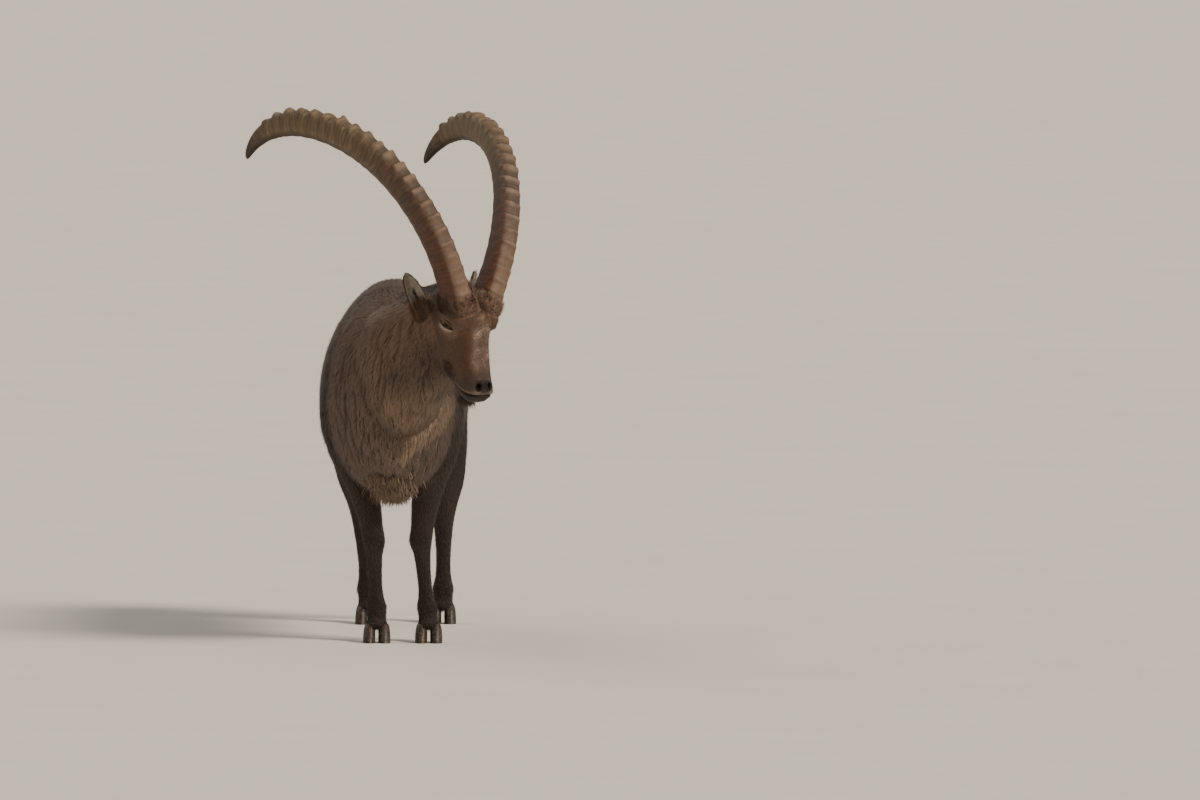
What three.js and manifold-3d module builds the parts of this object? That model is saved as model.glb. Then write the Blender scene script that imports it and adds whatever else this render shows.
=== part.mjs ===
// A life-size alpine ibex buck, standing square on a level floor and looking down to its left.
// Millimetres, +Z up. The animal faces -Y, so its left side is +X, and its hooves rest on z = 0.
// The surfaces below are those of the coat: the body is a set of tubes whose oval sections
// grow and shrink along a path, and each node is fitted against its neighbours.
import * as THREE from "three";
import { mergeVertices } from "three/addons/utils/BufferGeometryUtils.js";
import Module from "manifold-3d";

const wasm = await Module();
wasm.setup();

// Driving sizes
const withersHeight = 910;
const trunkLength = 1040; // chest front to rump
const trunkHalfWidth = 190;
const neckLength = 430;
const faceLength = 240; // horn base to lips
const headHalfWidth = 62;
const hornLength = 955; // along the middle of the horn
const hornDepth = 93; // front to back at the base
const hornWidth = 66;
const ridgeCount = 23;
const earLength = 112;
const earHalfWidth = 21;
const eyeRadius = 15;
const hoofLength = 66;
const tailLength = 150;
const fitGap = 0.3; // between nodes that touch

// Where the head is held, and how it is turned
const headPlace = new THREE.Vector3(223, -475, 876); // middle of the forehead, at the horns' front
const headYaw = THREE.MathUtils.degToRad(37);
const headPitch = THREE.MathUtils.degToRad(-8);

const coatColour = new THREE.MeshStandardMaterial({ color: 0x5b4434, roughness: 0.9, metalness: 0 });
const darkCoat = new THREE.MeshStandardMaterial({ color: 0x33241c, roughness: 0.9, metalness: 0 });
const earColour = new THREE.MeshStandardMaterial({ color: 0x8b7a68, roughness: 0.9, metalness: 0 });
const hornColour = new THREE.MeshStandardMaterial({ color: 0x6b4d38, roughness: 0.65, metalness: 0 });
const hoofColour = new THREE.MeshStandardMaterial({ color: 0x1d1714, roughness: 0.5, metalness: 0 });
const eyeColour = new THREE.MeshStandardMaterial({ color: 0x3a2a16, roughness: 0.1, metalness: 0 });

// Small helpers

const lerp = THREE.MathUtils.lerp;
const clamp = THREE.MathUtils.clamp;
const smooth = (value, low, high) => THREE.MathUtils.smoothstep(value, low, high);
const bell = (value, middle, spread) => Math.exp(-(((value - middle) / spread) ** 2));
const signedPower = (value, power) => Math.sign(value) * Math.abs(value) ** power;

// A row of a station table at a fractional place, on a Catmull-Rom spline through the rows.
function rowAt(rows, place) {
  const first = clamp(Math.floor(place), 0, rows.length - 2);
  const share = place - first;
  const row = (index) => rows[clamp(index, 0, rows.length - 1)];
  const [a, b, c, d] = [row(first - 1), row(first), row(first + 1), row(first + 2)];
  return b.map((value, k) => {
    const slopeIn = (c[k] - a[k]) / 2;
    const slopeOut = (d[k] - value) / 2;
    const rise = c[k] - value;
    return value + share * (slopeIn + share * (3 * rise - 2 * slopeIn - slopeOut
      + share * (slopeIn + slopeOut - 2 * rise)));
  });
}

// A closed mesh of rings of equal count, with a pole point at each end.
function ringMesh(rings, startPole, endPole) {
  const around = rings[0].length;
  const points = [startPole, ...rings.flat(), endPole];
  const faces = [];
  const at = (ring, k) => 1 + ring * around + (k % around);
  for (let k = 0; k < around; k += 1) {
    faces.push(0, at(0, k + 1), at(0, k));
    for (let ring = 0; ring < rings.length - 1; ring += 1) {
      faces.push(at(ring, k), at(ring, k + 1), at(ring + 1, k));
      faces.push(at(ring, k + 1), at(ring + 1, k + 1), at(ring + 1, k));
    }
    faces.push(at(rings.length - 1, k), at(rings.length - 1, k + 1), points.length - 1);
  }
  return closedGeometry(points, faces);
}

// Turns the faces outwards, whichever way the rings were walked.
function closedGeometry(points, faces) {
  let volume = 0;
  const cross = new THREE.Vector3();
  for (let i = 0; i < faces.length; i += 3) {
    const [a, b, c] = [points[faces[i]], points[faces[i + 1]], points[faces[i + 2]]];
    volume += a.dot(cross.crossVectors(b, c));
  }
  if (volume < 0) {
    for (let i = 0; i < faces.length; i += 3) {
      [faces[i + 1], faces[i + 2]] = [faces[i + 2], faces[i + 1]];
    }
  }
  const geometry = new THREE.BufferGeometry();
  const flat = points.flatMap((point) => [point.x, point.y, point.z]);
  geometry.setAttribute("position", new THREE.Float32BufferAttribute(flat, 3));
  geometry.setIndex(faces);
  return geometry;
}

// One oval section of a row of stations [x, y, z, half, up, down, square]: half is the half width
// along side, up and down are the reaches to each side of the path, square the power of the oval.
function sectionAt(rows, place, { side, over }) {
  const path = (at) => new THREE.Vector3(...rowAt(rows, clamp(at, 0, rows.length - 1)).slice(0, 3));
  const [x, y, z, half, up, down, square] = rowAt(rows, place);
  const along = path(place + 0.05).sub(path(place - 0.05)).normalize();
  const above = over ? over.clone() : new THREE.Vector3().crossVectors(along, side).normalize();
  const across = over ? side.clone() : new THREE.Vector3().crossVectors(above, along).normalize();
  return { centre: new THREE.Vector3(x, y, z), along, above, across, half, up, down, square };
}

// A point on a section's rim: turn 0 is above, a quarter turn is to its side.
function rimPoint({ centre, above, across, half, up, down, square }, turn, shrink = 1, grow = 0) {
  const [s, c] = [Math.sin(turn), Math.cos(turn)];
  return centre.clone()
    .addScaledVector(across, signedPower(s, 2 / square) * (half * shrink + grow))
    .addScaledVector(above, signedPower(c, 2 / square) * ((c > 0 ? up : down) * shrink + grow));
}

// A tube through the stations: grow thickens it all round, and cap is how far each rounded end
// reaches, with none for a flat end.
function tube(rows, { side, over, steps = 3, around = 20, cap = [20, 20], grow = 0, dent = null }) {
  const last = rows.length - 1;
  const rings = [];
  const addRing = (place, shrink, push) => {
    const section = sectionAt(rows, place, { side, over });
    section.centre.addScaledVector(section.along, push);
    const ring = [];
    for (let k = 0; k < around; k += 1) {
      const point = rimPoint(section, (2 * Math.PI * k) / around, shrink, grow);
      ring.push(dent ? dent(point) : point);
    }
    rings.push(ring);
  };
  const capTurns = [0.36, 0.2].map((share) => Math.PI * share);
  if (cap[0] > 0) capTurns.forEach((a) => addRing(0, Math.cos(a), -cap[0] * Math.sin(a)));
  for (let k = 0; k <= last * steps; k += 1) addRing(k / steps, 1, 0);
  [...capTurns].reverse().forEach((a) => addRing(last, Math.cos(a), cap[1] * Math.sin(a)));
  const [start, end] = [sectionAt(rows, 0, { side, over }), sectionAt(rows, last, { side, over })];
  const startReach = cap[0] > 0 ? cap[0] + grow : 0;
  return ringMesh(
    rings,
    start.centre.addScaledVector(start.along, -startReach),
    end.centre.addScaledVector(end.along, cap[1] + grow),
  );
}

// Solids: joining and cutting

function solid(geometry) {
  const bare = geometry.clone();
  bare.deleteAttribute("normal");
  bare.deleteAttribute("uv");
  const merged = mergeVertices(bare, 1e-3);
  return new wasm.Manifold(new wasm.Mesh({
    numProp: 3,
    vertProperties: merged.attributes.position.array,
    triVerts: new Uint32Array(merged.index.array),
  }));
}

const joined = (first, ...others) => others.reduce((sum, next) => sum.add(next), first);
const without = (first, ...others) => others.reduce((rest, next) => rest.subtract(next), first);

// A node's mesh: the largest closed body that is left after its cuts.
function node(name, body, material) {
  const largest = body.decompose().reduce((a, b) => (a.volume() > b.volume() ? a : b));
  const cut = largest.getMesh();
  const geometry = new THREE.BufferGeometry();
  const stride = cut.numProp;
  const position = new Float32Array(cut.numVert * 3);
  for (let i = 0; i < cut.numVert; i += 1) {
    position.set(cut.vertProperties.subarray(i * stride, i * stride + 3), i * 3);
  }
  geometry.setAttribute("position", new THREE.BufferAttribute(position, 3));
  geometry.setIndex(new THREE.BufferAttribute(cut.triVerts, 1));
  const mesh = new THREE.Mesh(geometry, material);
  mesh.name = name;
  return mesh;
}

const leftward = new THREE.Vector3(1, 0, 0);
const upward = new THREE.Vector3(0, 0, 1);
const forward = new THREE.Vector3(0, -1, 0);

// Torso: shares of trunk length from the foreleg line, and shares of height and width

const torsoTable = [
  // along, middle, up, down, half, square
  [-0.215, 0.690, 0.160, 0.185, 0.56, 2.1],
  [-0.140, 0.680, 0.255, 0.245, 0.80, 2.1],
  [-0.045, 0.668, 0.312, 0.263, 0.92, 2.0],
  [0.050, 0.660, 0.338, 0.253, 0.98, 2.0],
  [0.190, 0.662, 0.306, 0.245, 1.00, 2.0],
  [0.340, 0.672, 0.284, 0.242, 1.00, 2.1],
  [0.480, 0.700, 0.276, 0.218, 0.92, 2.1],
  [0.600, 0.724, 0.262, 0.200, 0.80, 2.1],
  [0.700, 0.736, 0.220, 0.170, 0.66, 2.1],
  [0.770, 0.740, 0.150, 0.125, 0.46, 2.1],
];
const torsoRows = torsoTable.map(([along, middle, up, down, half, square]) => [
  0, along * trunkLength, middle * withersHeight,
  half * trunkHalfWidth, up * withersHeight, down * withersHeight, square,
]);
const torsoFrame = { side: leftward, over: upward };
const torsoTube = (grow) => tube(torsoRows, {
  ...torsoFrame, steps: 2, around: 26, cap: [45, 34], grow,
});

// Neck: from inside the shoulders to behind the cheeks

const neckTable = [
  // left, ahead (both shares of neck length), height, half, up, down, square
  [0.00, -0.02, 0.725, 0.290, 0.385, 0.400, 2.0],
  [0.01, 0.22, 0.750, 0.300, 0.400, 0.430, 2.0],
  [0.08, 0.46, 0.800, 0.285, 0.370, 0.470, 2.0],
  [0.19, 0.67, 0.860, 0.228, 0.305, 0.410, 2.0],
  [0.30, 0.84, 0.902, 0.158, 0.255, 0.275, 2.0],
  [0.42, 0.99, 0.912, 0.095, 0.190, 0.130, 2.0],
];
const neckRows = neckTable.map(([left, ahead, height, half, up, down, square]) => [
  left * neckLength, -ahead * neckLength, height * withersHeight,
  half * neckLength, up * neckLength, down * neckLength, square,
]);
const neckFrame = { side: leftward };
const neckTube = (grow) => tube(neckRows, { ...neckFrame, steps: 2, around: 22, cap: [30, 30], grow });

// Head, in its own frame: the forehead at the origin, the muzzle down, the face towards -Y

const headTable = [
  // down the face, front, back, widest (all shares of face length), half (share of head), square
  [0.985, 0.060, 0.255, 0.145, 0.44, 2.4],
  [0.925, 0.015, 0.325, 0.155, 0.60, 2.4],
  [0.850, 0.000, 0.395, 0.165, 0.66, 2.4],
  [0.740, -0.004, 0.490, 0.180, 0.67, 2.4],
  [0.610, 0.004, 0.610, 0.215, 0.74, 2.3],
  [0.470, 0.000, 0.665, 0.240, 0.82, 2.2],
  [0.330, -0.018, 0.675, 0.255, 0.92, 2.1],
  [0.190, -0.030, 0.665, 0.260, 1.02, 2.1],
  [0.050, -0.012, 0.650, 0.265, 1.03, 2.2],
  [-0.080, 0.050, 0.620, 0.290, 0.96, 2.2],
  [-0.180, 0.140, 0.560, 0.310, 0.78, 2.2],
];
const headRows = headTable.map(([drop, front, back, widest, half, square]) => [
  0, widest * faceLength, -drop * faceLength,
  half * headHalfWidth, (widest - front) * faceLength, (back - widest) * faceLength, square,
]);
const eyePlace = { left: 53, behind: 58, drop: 47 };
const eyeAim = new THREE.Vector3(0.87, -0.47, 0.05).normalize();

// Swellings and hollows of the face: how far each moves the skin outwards, how far down the face
// and how far back it lies with its spread both ways, and the share of the half width it fades in at.
const faceForms = [
  { name: "brow", out: 9, drop: [34, 18], back: [46, 30], from: [0.55, 0.95] },
  { name: "hollow before the eye", out: -5, drop: [92, 26], back: [34, 24], from: [0.3, 0.7] },
  { name: "side of the nose", out: -6, drop: [130, 52], back: [-4, 34], from: [0.3, 0.75] },
  { name: "cheek", out: 8, drop: [92, 46], back: [118, 40], from: [0.3, 0.8] },
  { name: "wing of the nostril", out: 3, drop: [205, 13], back: [14, 15], from: [0.1, 0.35] },
];
function faceForm(point) {
  const reach = Math.abs(point.x) / headHalfWidth;
  const moves = faceForms.map(({ out, drop, back, from }) => (
    out * bell(-point.z, ...drop) * bell(point.y, ...back) * smooth(reach, ...from)));
  point.x += Math.sign(point.x) * moves.reduce((sum, move) => sum + move, 0);
  return point;
}
const headTube = (grow) => tube(headRows, {
  side: leftward, over: forward, steps: 2, around: 28, cap: [5, 24], grow, dent: faceForm,
});

function turned(geometry, rotation, place) {
  return geometry.applyMatrix4(new THREE.Matrix4().makeRotationFromEuler(rotation)).translate(...place);
}

// A lens-shaped prism whose flat sides face along z: the opening between the lids.
function almond(width, height, depth) {
  const shape = new THREE.Shape();
  const rise = height / 2;
  const radius = (width * width / 4 + rise * rise) / (2 * rise);
  const half = Math.asin(width / 2 / radius);
  shape.absarc(0, rise - radius, radius, Math.PI / 2 - half, Math.PI / 2 + half, false);
  shape.absarc(0, radius - rise, radius, 1.5 * Math.PI - half, 1.5 * Math.PI + half, false);
  return new THREE.ExtrudeGeometry(shape, { depth, bevelEnabled: false, curveSegments: 8 });
}

// Looks along an aim, with the slit's outer corner raised by tilt on either side of the head.
function aimed(geometry, aim, place, tilt) {
  const turn = new THREE.Quaternion().setFromUnitVectors(new THREE.Vector3(0, 0, 1), aim);
  const spin = new THREE.Quaternion().setFromAxisAngle(new THREE.Vector3(0, 0, 1), tilt);
  geometry.applyQuaternion(turn.multiply(spin));
  return geometry.translate(place.x, place.y, place.z);
}

const eyeCentre = (hand) => new THREE.Vector3(hand * eyePlace.left, eyePlace.behind, -eyePlace.drop);
const eyeAxis = (hand) => new THREE.Vector3(hand * eyeAim.x, eyeAim.y, eyeAim.z);

function eyeBall(hand, radius) {
  return solid(aimed(new THREE.SphereGeometry(radius, 14, 10), eyeAxis(hand), eyeCentre(hand), 0));
}

// The lids are a ball round the eye that stands a little proud of it, opened by a slit.
const lidThickness = 4;
const slitSize = { width: 31, height: 10, reach: 40, tilt: THREE.MathUtils.degToRad(112) };
function eyeSlit(hand) {
  const slit = almond(slitSize.width, slitSize.height, slitSize.reach);
  return solid(aimed(slit, eyeAxis(hand), eyeCentre(hand), hand * slitSize.tilt));
}

// The mouth: a curved slot from the lips back to the corner, cut only skin deep.
const mouthDepth = 3.5;
function mouthLine() {
  const slot = new THREE.Shape();
  const [corner, middle, front] = [
    new THREE.Vector2(88, -0.70 * faceLength),
    new THREE.Vector2(60, -0.90 * faceLength),
    new THREE.Vector2(-6, -0.955 * faceLength),
  ];
  slot.moveTo(corner.x, corner.y);
  slot.quadraticCurveTo(middle.x, middle.y, front.x, front.y);
  slot.lineTo(front.x, front.y - 3);
  slot.quadraticCurveTo(middle.x + 2.5, middle.y - 3, corner.x, corner.y - 1);
  const prism = new THREE.ExtrudeGeometry(slot, { depth: 120, bevelEnabled: false, curveSegments: 8 });
  // The shape's x is the head's +Y and its y the head's +Z.
  const toHead = new THREE.Matrix4().set(0, 0, 1, -60, 1, 0, 0, 0, 0, 1, 0, 0, 0, 0, 0, 1);
  return solid(prism.applyMatrix4(toHead));
}

function nostril(hand) {
  const hole = new THREE.SphereGeometry(1, 12, 8).scale(5, 7, 10);
  return solid(turned(hole, new THREE.Euler(-0.35, 0, hand * -0.5), [hand * 15.5, 2, -0.865 * faceLength]));
}

// Horns: a bending path whose section has a broad ridged front and a narrow back

const hornTurn = { lean: -20, tighten: 0.88, hook: 30, tipIn: 4.5 };
const hornBend = { left: 130, right: 129 };
const hornSplay = { left: 24.5, right: 18.5 };
const hornRoot = { left: 38, behind: 43, sunk: 12 };
const smoothTip = 0.12; // share of the horn that has no knobs

// A point of the horn's middle line for every share of its length, bending ever further back.
function hornPath(hand, shares) {
  const [splay, bend] = [hornSplay, hornBend].map((pair) => (hand > 0 ? pair.left : pair.right));
  const rad = THREE.MathUtils.degToRad;
  const direction = (share) => {
    const back = rad(hornTurn.lean + bend * share ** hornTurn.tighten + hornTurn.hook * share ** 9);
    const out = rad(splay * (1 - share ** 2.5) - hornTurn.tipIn * share ** 4);
    const ahead = Math.cos(out);
    return new THREE.Vector3(hand * Math.sin(out), Math.sin(back) * ahead, Math.cos(back) * ahead);
  };
  const place = new THREE.Vector3(hand * hornRoot.left, hornRoot.behind, 0);
  let before = 0;
  return shares.map((share) => {
    place.addScaledVector(direction((share + before) / 2), (share - before) * hornLength);
    before = share;
    return { share, place: place.clone(), along: direction(share) };
  });
}

// Where each growth knob starts: they stand closer together towards the head.
const knobStart = (index) => (1 - smoothTip) * (index / ridgeCount) ** 1.2;

// Three rings a knob: its foot, its crest and the steep drop behind the crest.
function hornStations() {
  const stations = [];
  for (let index = 0; index < ridgeCount; index += 1) {
    const [start, end] = [knobStart(index), knobStart(index + 1)];
    const crest = (6 + 6 * smooth(start, 0.05, 0.5)) * (1 - 0.55 * smooth(start, 0.7, 0.95));
    stations.push([start, 0], [lerp(start, end, 0.52), crest], [lerp(start, end, 0.76), 0.85 * crest]);
  }
  for (const share of [0, 0.3, 0.55, 0.76, 0.9, 0.975]) stations.push([lerp(1 - smoothTip, 1, share), 0]);
  return stations;
}

// The horn's thickness as a share of its size near the base, where it flares to the back and front.
const hornTaper = (share) => (1 - 0.3 * share) * Math.sqrt(1 - share ** 6);
const hornFlare = (share) => 1 + 0.14 * bell(share, 0, 0.05);

// The horn up to a share of its length, swollen by grow at its root and by edge where it ends.
function hornSolid(hand, grow = 0, until = 1, edge = grow) {
  const around = 12;
  const stations = hornStations().filter(([share]) => share <= until);
  const path = hornPath(hand, stations.map(([share]) => share));
  const ringAt = ({ share, place, along }, crest, sink = 0) => {
    const front = new THREE.Vector3().crossVectors(leftward, along).normalize();
    const wide = new THREE.Vector3().crossVectors(along, front).normalize();
    const taper = hornTaper(share);
    const swell = lerp(grow, edge, share / until);
    const broad = (hornWidth / 2) * taper;
    const deep = (hornDepth / 2) * taper * hornFlare(share) + swell;
    const centre = place.clone().addScaledVector(along, -sink);
    const ring = [];
    for (let k = 0; k < around; k += 1) {
      const turn = (2 * Math.PI * (k + 0.5)) / around;
      const [s, c] = [Math.sin(turn), Math.cos(turn)];
      const knob = crest * smooth(c, -0.1, 0.6);
      const narrow = c < 0 ? 1 - 0.38 * c * c : 1;
      ring.push(centre.clone()
        .addScaledVector(wide, signedPower(s, 0.75) * (broad * narrow + swell + knob * 0.4))
        .addScaledVector(front, signedPower(c, c > 0 ? 0.6 : 0.95) * (deep + knob)));
    }
    return ring;
  };
  const sunk = hornRoot.sunk + grow;
  const rings = [ringAt(path[0], 0, sunk), ...path.map((station, k) => ringAt(station, stations[k][1]))];
  const last = path[path.length - 1];
  const rest = until < 1 ? 0 : (1 - last.share) * hornLength;
  return solid(ringMesh(
    rings,
    path[0].place.clone().addScaledVector(path[0].along, -sunk),
    last.place.clone().addScaledVector(last.along, rest),
  ));
}

// The hair of the head grows a little way up each horn, as a collar that thins upwards.
const collar = { foot: 9, until: 0.0345, edge: 1.8 };
const hairCollar = (hand) => hornSolid(hand, collar.foot, collar.until, collar.edge);

// Ears: a leaf rolled into a cup that opens forwards

function earSolid(hand) {
  const [rowsAlong, rowsAcross] = [9, 6];
  const root = new THREE.Vector3(hand * 66, 150, -4);
  const along = new THREE.Vector3(hand * 0.4, -0.05, 0.91).normalize();
  const open = new THREE.Vector3(hand * 0.42, -0.88, 0.2);
  open.addScaledVector(along, -open.dot(along)).normalize();
  const across = new THREE.Vector3().crossVectors(along, open).normalize();
  const thick = (share) => lerp(5, 2.4, share);
  const surface = (share, width, depth) => {
    const leaf = Math.sin(Math.PI * (0.16 + 0.84 * share) ** 0.86);
    const half = earHalfWidth * Math.max(leaf, 0) ** 0.58 + 1.5;
    const curl = lerp(1.25, 0.55, share);
    const radius = half / Math.sin(curl);
    const turn = width * curl;
    const bend = 10 * share * share;
    return root.clone()
      .addScaledVector(along, share * earLength)
      .addScaledVector(across, Math.sin(turn) * (radius - depth))
      .addScaledVector(open, (1 - Math.cos(turn)) * (radius - depth) + depth - bend * 0.6);
  };
  const faces = [];
  const points = [];
  const index = (skin, i, j) => (skin * (rowsAlong + 1) + i) * (rowsAcross + 1) + j;
  for (let skin = 0; skin < 2; skin += 1) {
    for (let i = 0; i <= rowsAlong; i += 1) {
      for (let j = 0; j <= rowsAcross; j += 1) {
        const share = i / rowsAlong;
        points.push(surface(share, (2 * j) / rowsAcross - 1, skin * thick(share)));
      }
    }
  }
  // The two skins, then the walls along both edges, the root and the tip
  const quad = (a, b, c, d) => faces.push(a, b, c, a, c, d);
  for (let i = 0; i < rowsAlong; i += 1) {
    const next = i + 1;
    for (let j = 0; j < rowsAcross; j += 1) {
      quad(index(0, i, j), index(0, next, j), index(0, next, j + 1), index(0, i, j + 1));
      quad(index(1, i, j + 1), index(1, next, j + 1), index(1, next, j), index(1, i, j));
    }
    const edge = rowsAcross;
    quad(index(0, i, 0), index(1, i, 0), index(1, next, 0), index(0, next, 0));
    quad(index(0, next, edge), index(1, next, edge), index(1, i, edge), index(0, i, edge));
  }
  for (let j = 0; j < rowsAcross; j += 1) {
    const tip = rowsAlong;
    quad(index(0, 0, j + 1), index(1, 0, j + 1), index(1, 0, j), index(0, 0, j));
    quad(index(0, tip, j), index(1, tip, j), index(1, tip, j + 1), index(0, tip, j + 1));
  }
  return solid(closedGeometry(points, faces));
}

// Legs: each table is a left leg standing straight, and stance then leans it into place

// How far to the left of the middle each leg's knee or hock and its foot stand, and how far back.
const stance = {
  fore: { left: [72, 97, -10], right: [-47, -37, -6] },
  hind: { left: [122, 120, 668], right: [-88, -68, 652] },
};
const kneeHeight = 262;
const rootLine = { fore: 0, hind: 590 };

const forelegTable = [
  // out from the middle, ahead of the root's line, height, half, ahead reach, behind reach, square
  [80, -20, 745, 42, 80, 90, 2],
  [114, 25, 650, 62, 98, 104, 2],
  [124, 30, 560, 62, 86, 96, 2],
  [116, 5, 475, 57, 66, 78, 2],
  [101, 5, 410, 48, 49, 60, 2],
  [91, 10, 345, 38, 39, 45, 2],
  [85, 14, 295, 32, 33, 35, 2],
  [80, 18, 258, 31, 33, 33, 2.3],
  [80, 12, 222, 24, 25, 26, 2],
  [80, 8, 165, 20, 20, 23, 2],
  [80, 6, 120, 21, 22, 26, 2],
  [80, 4, 92, 27, 28, 32, 2.1],
  [80, 16, 62, 25, 24, 27, 2.1],
  [80, 30, 42, 30, 28, 30, 2.2],
];
const hindlegTable = [
  [70, -50, 770, 44, 105, 110, 2],
  [104, -60, 690, 70, 135, 140, 2],
  [120, -55, 610, 68, 130, 125, 2],
  [123, -40, 525, 62, 112, 92, 2],
  [122, -5, 450, 56, 76, 74, 2],
  [118, -30, 375, 48, 52, 56, 2],
  [108, -55, 315, 38, 39, 46, 2],
  [104, -62, 270, 30, 34, 44, 2.2],
  [104, -52, 228, 25, 27, 30, 2],
  [104, -40, 170, 21, 22, 25, 2],
  [104, -30, 122, 22, 23, 27, 2],
  [104, -26, 92, 28, 29, 33, 2.1],
  [104, -12, 62, 26, 25, 28, 2.1],
  [104, 2, 42, 31, 29, 31, 2.2],
];

// A leg keeps its root on the body and leans so that its knee and foot come to their places.
function legRows(table, hand, [knee, foot, footBack], rootBack) {
  const [topHeight, footOut] = [table[0][2], table[table.length - 1][0]];
  return table.map(([out, ahead, height, half, front, back, square]) => {
    const upper = smooth(topHeight - height, 0.2 * topHeight, topHeight - kneeHeight);
    const lower = clamp((kneeHeight - height) / kneeHeight, 0, 1);
    const lean = upper * (knee - hand * footOut) + lower * (foot - knee);
    const set = smooth(topHeight - height, 0.25 * topHeight, 0.9 * topHeight);
    return [hand * out + lean, lerp(rootBack, footBack, set) - ahead, height, half, front, back, square];
  });
}
const legs = ["fore", "hind"].flatMap((pair) => ["left", "right"].map((which) => {
  const hand = which === "left" ? 1 : -1;
  const table = pair === "fore" ? forelegTable : hindlegTable;
  return {
    name: `${pair}leg_${which}`,
    pair,
    which,
    hand,
    rows: legRows(table, hand, stance[pair][which], rootLine[pair]),
  };
}));
const legTube = ({ rows }, grow) => tube(rows, {
  side: leftward, over: forward, steps: 1, around: 12, cap: [30, 8], grow,
});

// Dewclaws: two short horn buds behind each fetlock.
const dewclaw = { station: 11.2, aside: 15, behind: 28, height: 72, half: [8, 10, 15], lean: 0.5 };
function dewclaws({ rows }) {
  const [x, y] = rowAt(rows, dewclaw.station);
  return [-1, 1].map((side) => {
    const bud = new THREE.SphereGeometry(1, 7, 5).scale(...dewclaw.half);
    const spot = [x + side * dewclaw.aside, y + dewclaw.behind, dewclaw.height];
    return solid(turned(bud, new THREE.Euler(dewclaw.lean, 0, 0), spot));
  });
}

// Hooves: two claws side by side, each a wedge that is flat below and sloped in front

const clawSpread = 17.5; // from the foot's middle to the middle of each claw
const clawSlant = 0.08; // how much the claws part towards their tips
function claw({ rows }, side) {
  const [x, y] = rows[rows.length - 1];
  const middle = x + side * clawSpread;
  const clawTable = [
    // height, ahead of the coronet, half, front, back
    [0, 14, 16.5, hoofLength * 0.52, hoofLength * 0.44],
    [16, 10, 16.5, hoofLength * 0.46, hoofLength * 0.42],
    [33, 4, 15.5, hoofLength * 0.38, hoofLength * 0.36],
    [46, -1, 12.5, hoofLength * 0.27, hoofLength * 0.28],
  ];
  const clawRows = clawTable.map(([height, ahead, half, front, back]) => (
    [middle + side * ahead * clawSlant, y - ahead, height, half, front, back, 2.3]));
  return solid(tube(clawRows, { side: leftward, over: forward, steps: 1, around: 10, cap: [0, 4] }));
}

// Tail: short, hanging close to the rump

const tailTop = 0.815 * withersHeight;
const tailRows = [
  [0, 0.755 * trunkLength, tailTop + 14, 22, 24, 24, 2],
  [0, 0.795 * trunkLength, tailTop, 27, 22, 24, 2],
  [0, 0.822 * trunkLength, tailTop - tailLength * 0.24, 30, 18, 20, 2],
  [0, 0.832 * trunkLength, tailTop - tailLength * 0.62, 24, 12, 14, 2],
  [0, 0.830 * trunkLength, tailTop - tailLength * 0.92, 10, 5, 6, 2],
];
const tailFrame = { side: leftward };
const tailTube = (grow) => tube(tailRows, { ...tailFrame, steps: 2, around: 10, cap: [8, 8], grow });

// Hair: flat tapered locks that bend on their way from root to tip

// A lock runs from root along lay, bows out by bend, and is broadest along across.
function lock(root, lay, bend, across, width, thick) {
  const around = 5;
  const above = new THREE.Vector3().crossVectors(lay, across).normalize();
  const rings = [[0.12, 1], [0.45, 1.05], [0.8, 0.55]].map(([share, body]) => {
    const centre = root.clone().addScaledVector(lay, share).addScaledVector(bend, Math.sin(Math.PI * share));
    const ring = [];
    for (let k = 0; k < around; k += 1) {
      const turn = (2 * Math.PI * k) / around;
      ring.push(centre.clone()
        .addScaledVector(across, Math.cos(turn) * (width / 2) * body)
        .addScaledVector(above, Math.sin(turn) * (thick / 2) * body));
    }
    return ring;
  });
  return solid(ringMesh(rings, root.clone(), root.clone().add(lay)));
}

// The beard hangs from behind the chin, in a ring of locks that spread a little.
const beardRoot = { behind: 74, drop: 0.86 * faceLength, half: 11 };
function beard() {
  const locks = [];
  const count = 9;
  for (let k = 0; k < count; k += 1) {
    const turn = (k / count) * Math.PI * 2;
    const [sideways, backward] = [Math.cos(turn), Math.sin(turn)];
    const { behind, drop, half } = beardRoot;
    const root = new THREE.Vector3(sideways * half, behind + backward * half, -drop);
    const lay = new THREE.Vector3(sideways * 5, 16 + backward * 8, -60 + 9 * Math.sin(3 * turn));
    const across = new THREE.Vector3(-sideways * backward, 1, 0).normalize();
    locks.push(lock(root, lay, new THREE.Vector3(sideways * 4, -4, 0), across, 19, 9));
  }
  return locks;
}

// The forelock stands up from the crown behind and between the horns and falls to both sides.
function forelock() {
  const locks = [];
  for (const side of [-1, -0.35, 0.35, 1]) {
    const root = new THREE.Vector3(side * 14, 96, 40);
    const lay = new THREE.Vector3(side * 16, 22 - 8 * Math.abs(side), 30);
    locks.push(lock(root, lay, new THREE.Vector3(0, -5, 6), leftward, 20, 9));
  }
  return locks;
}

// Locks rooted in rows on a tube's skin: rows is a list of [place, turn], and each lock leans out
// from the skin by rise and trails by trail, both in the lock's own length.
function skinLocks(rows, frame, roots, { length, width, thick, trail, rise, sink = 9 }) {
  return roots.map(([place, turn], k) => {
    const section = sectionAt(rows, place, frame);
    const skin = rimPoint(section, turn);
    const out = skin.clone().sub(section.centre).normalize();
    const lay = trail.clone().addScaledVector(out, rise).normalize();
    const across = new THREE.Vector3().crossVectors(lay, out).normalize();
    const own = length * (1 + 0.16 * Math.sin(2.4 * k + 1));
    const bow = out.clone().multiplyScalar(0.1 * own);
    return lock(skin.addScaledVector(out, -sink), lay.multiplyScalar(own), bow, across, width, thick);
  });
}

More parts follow.
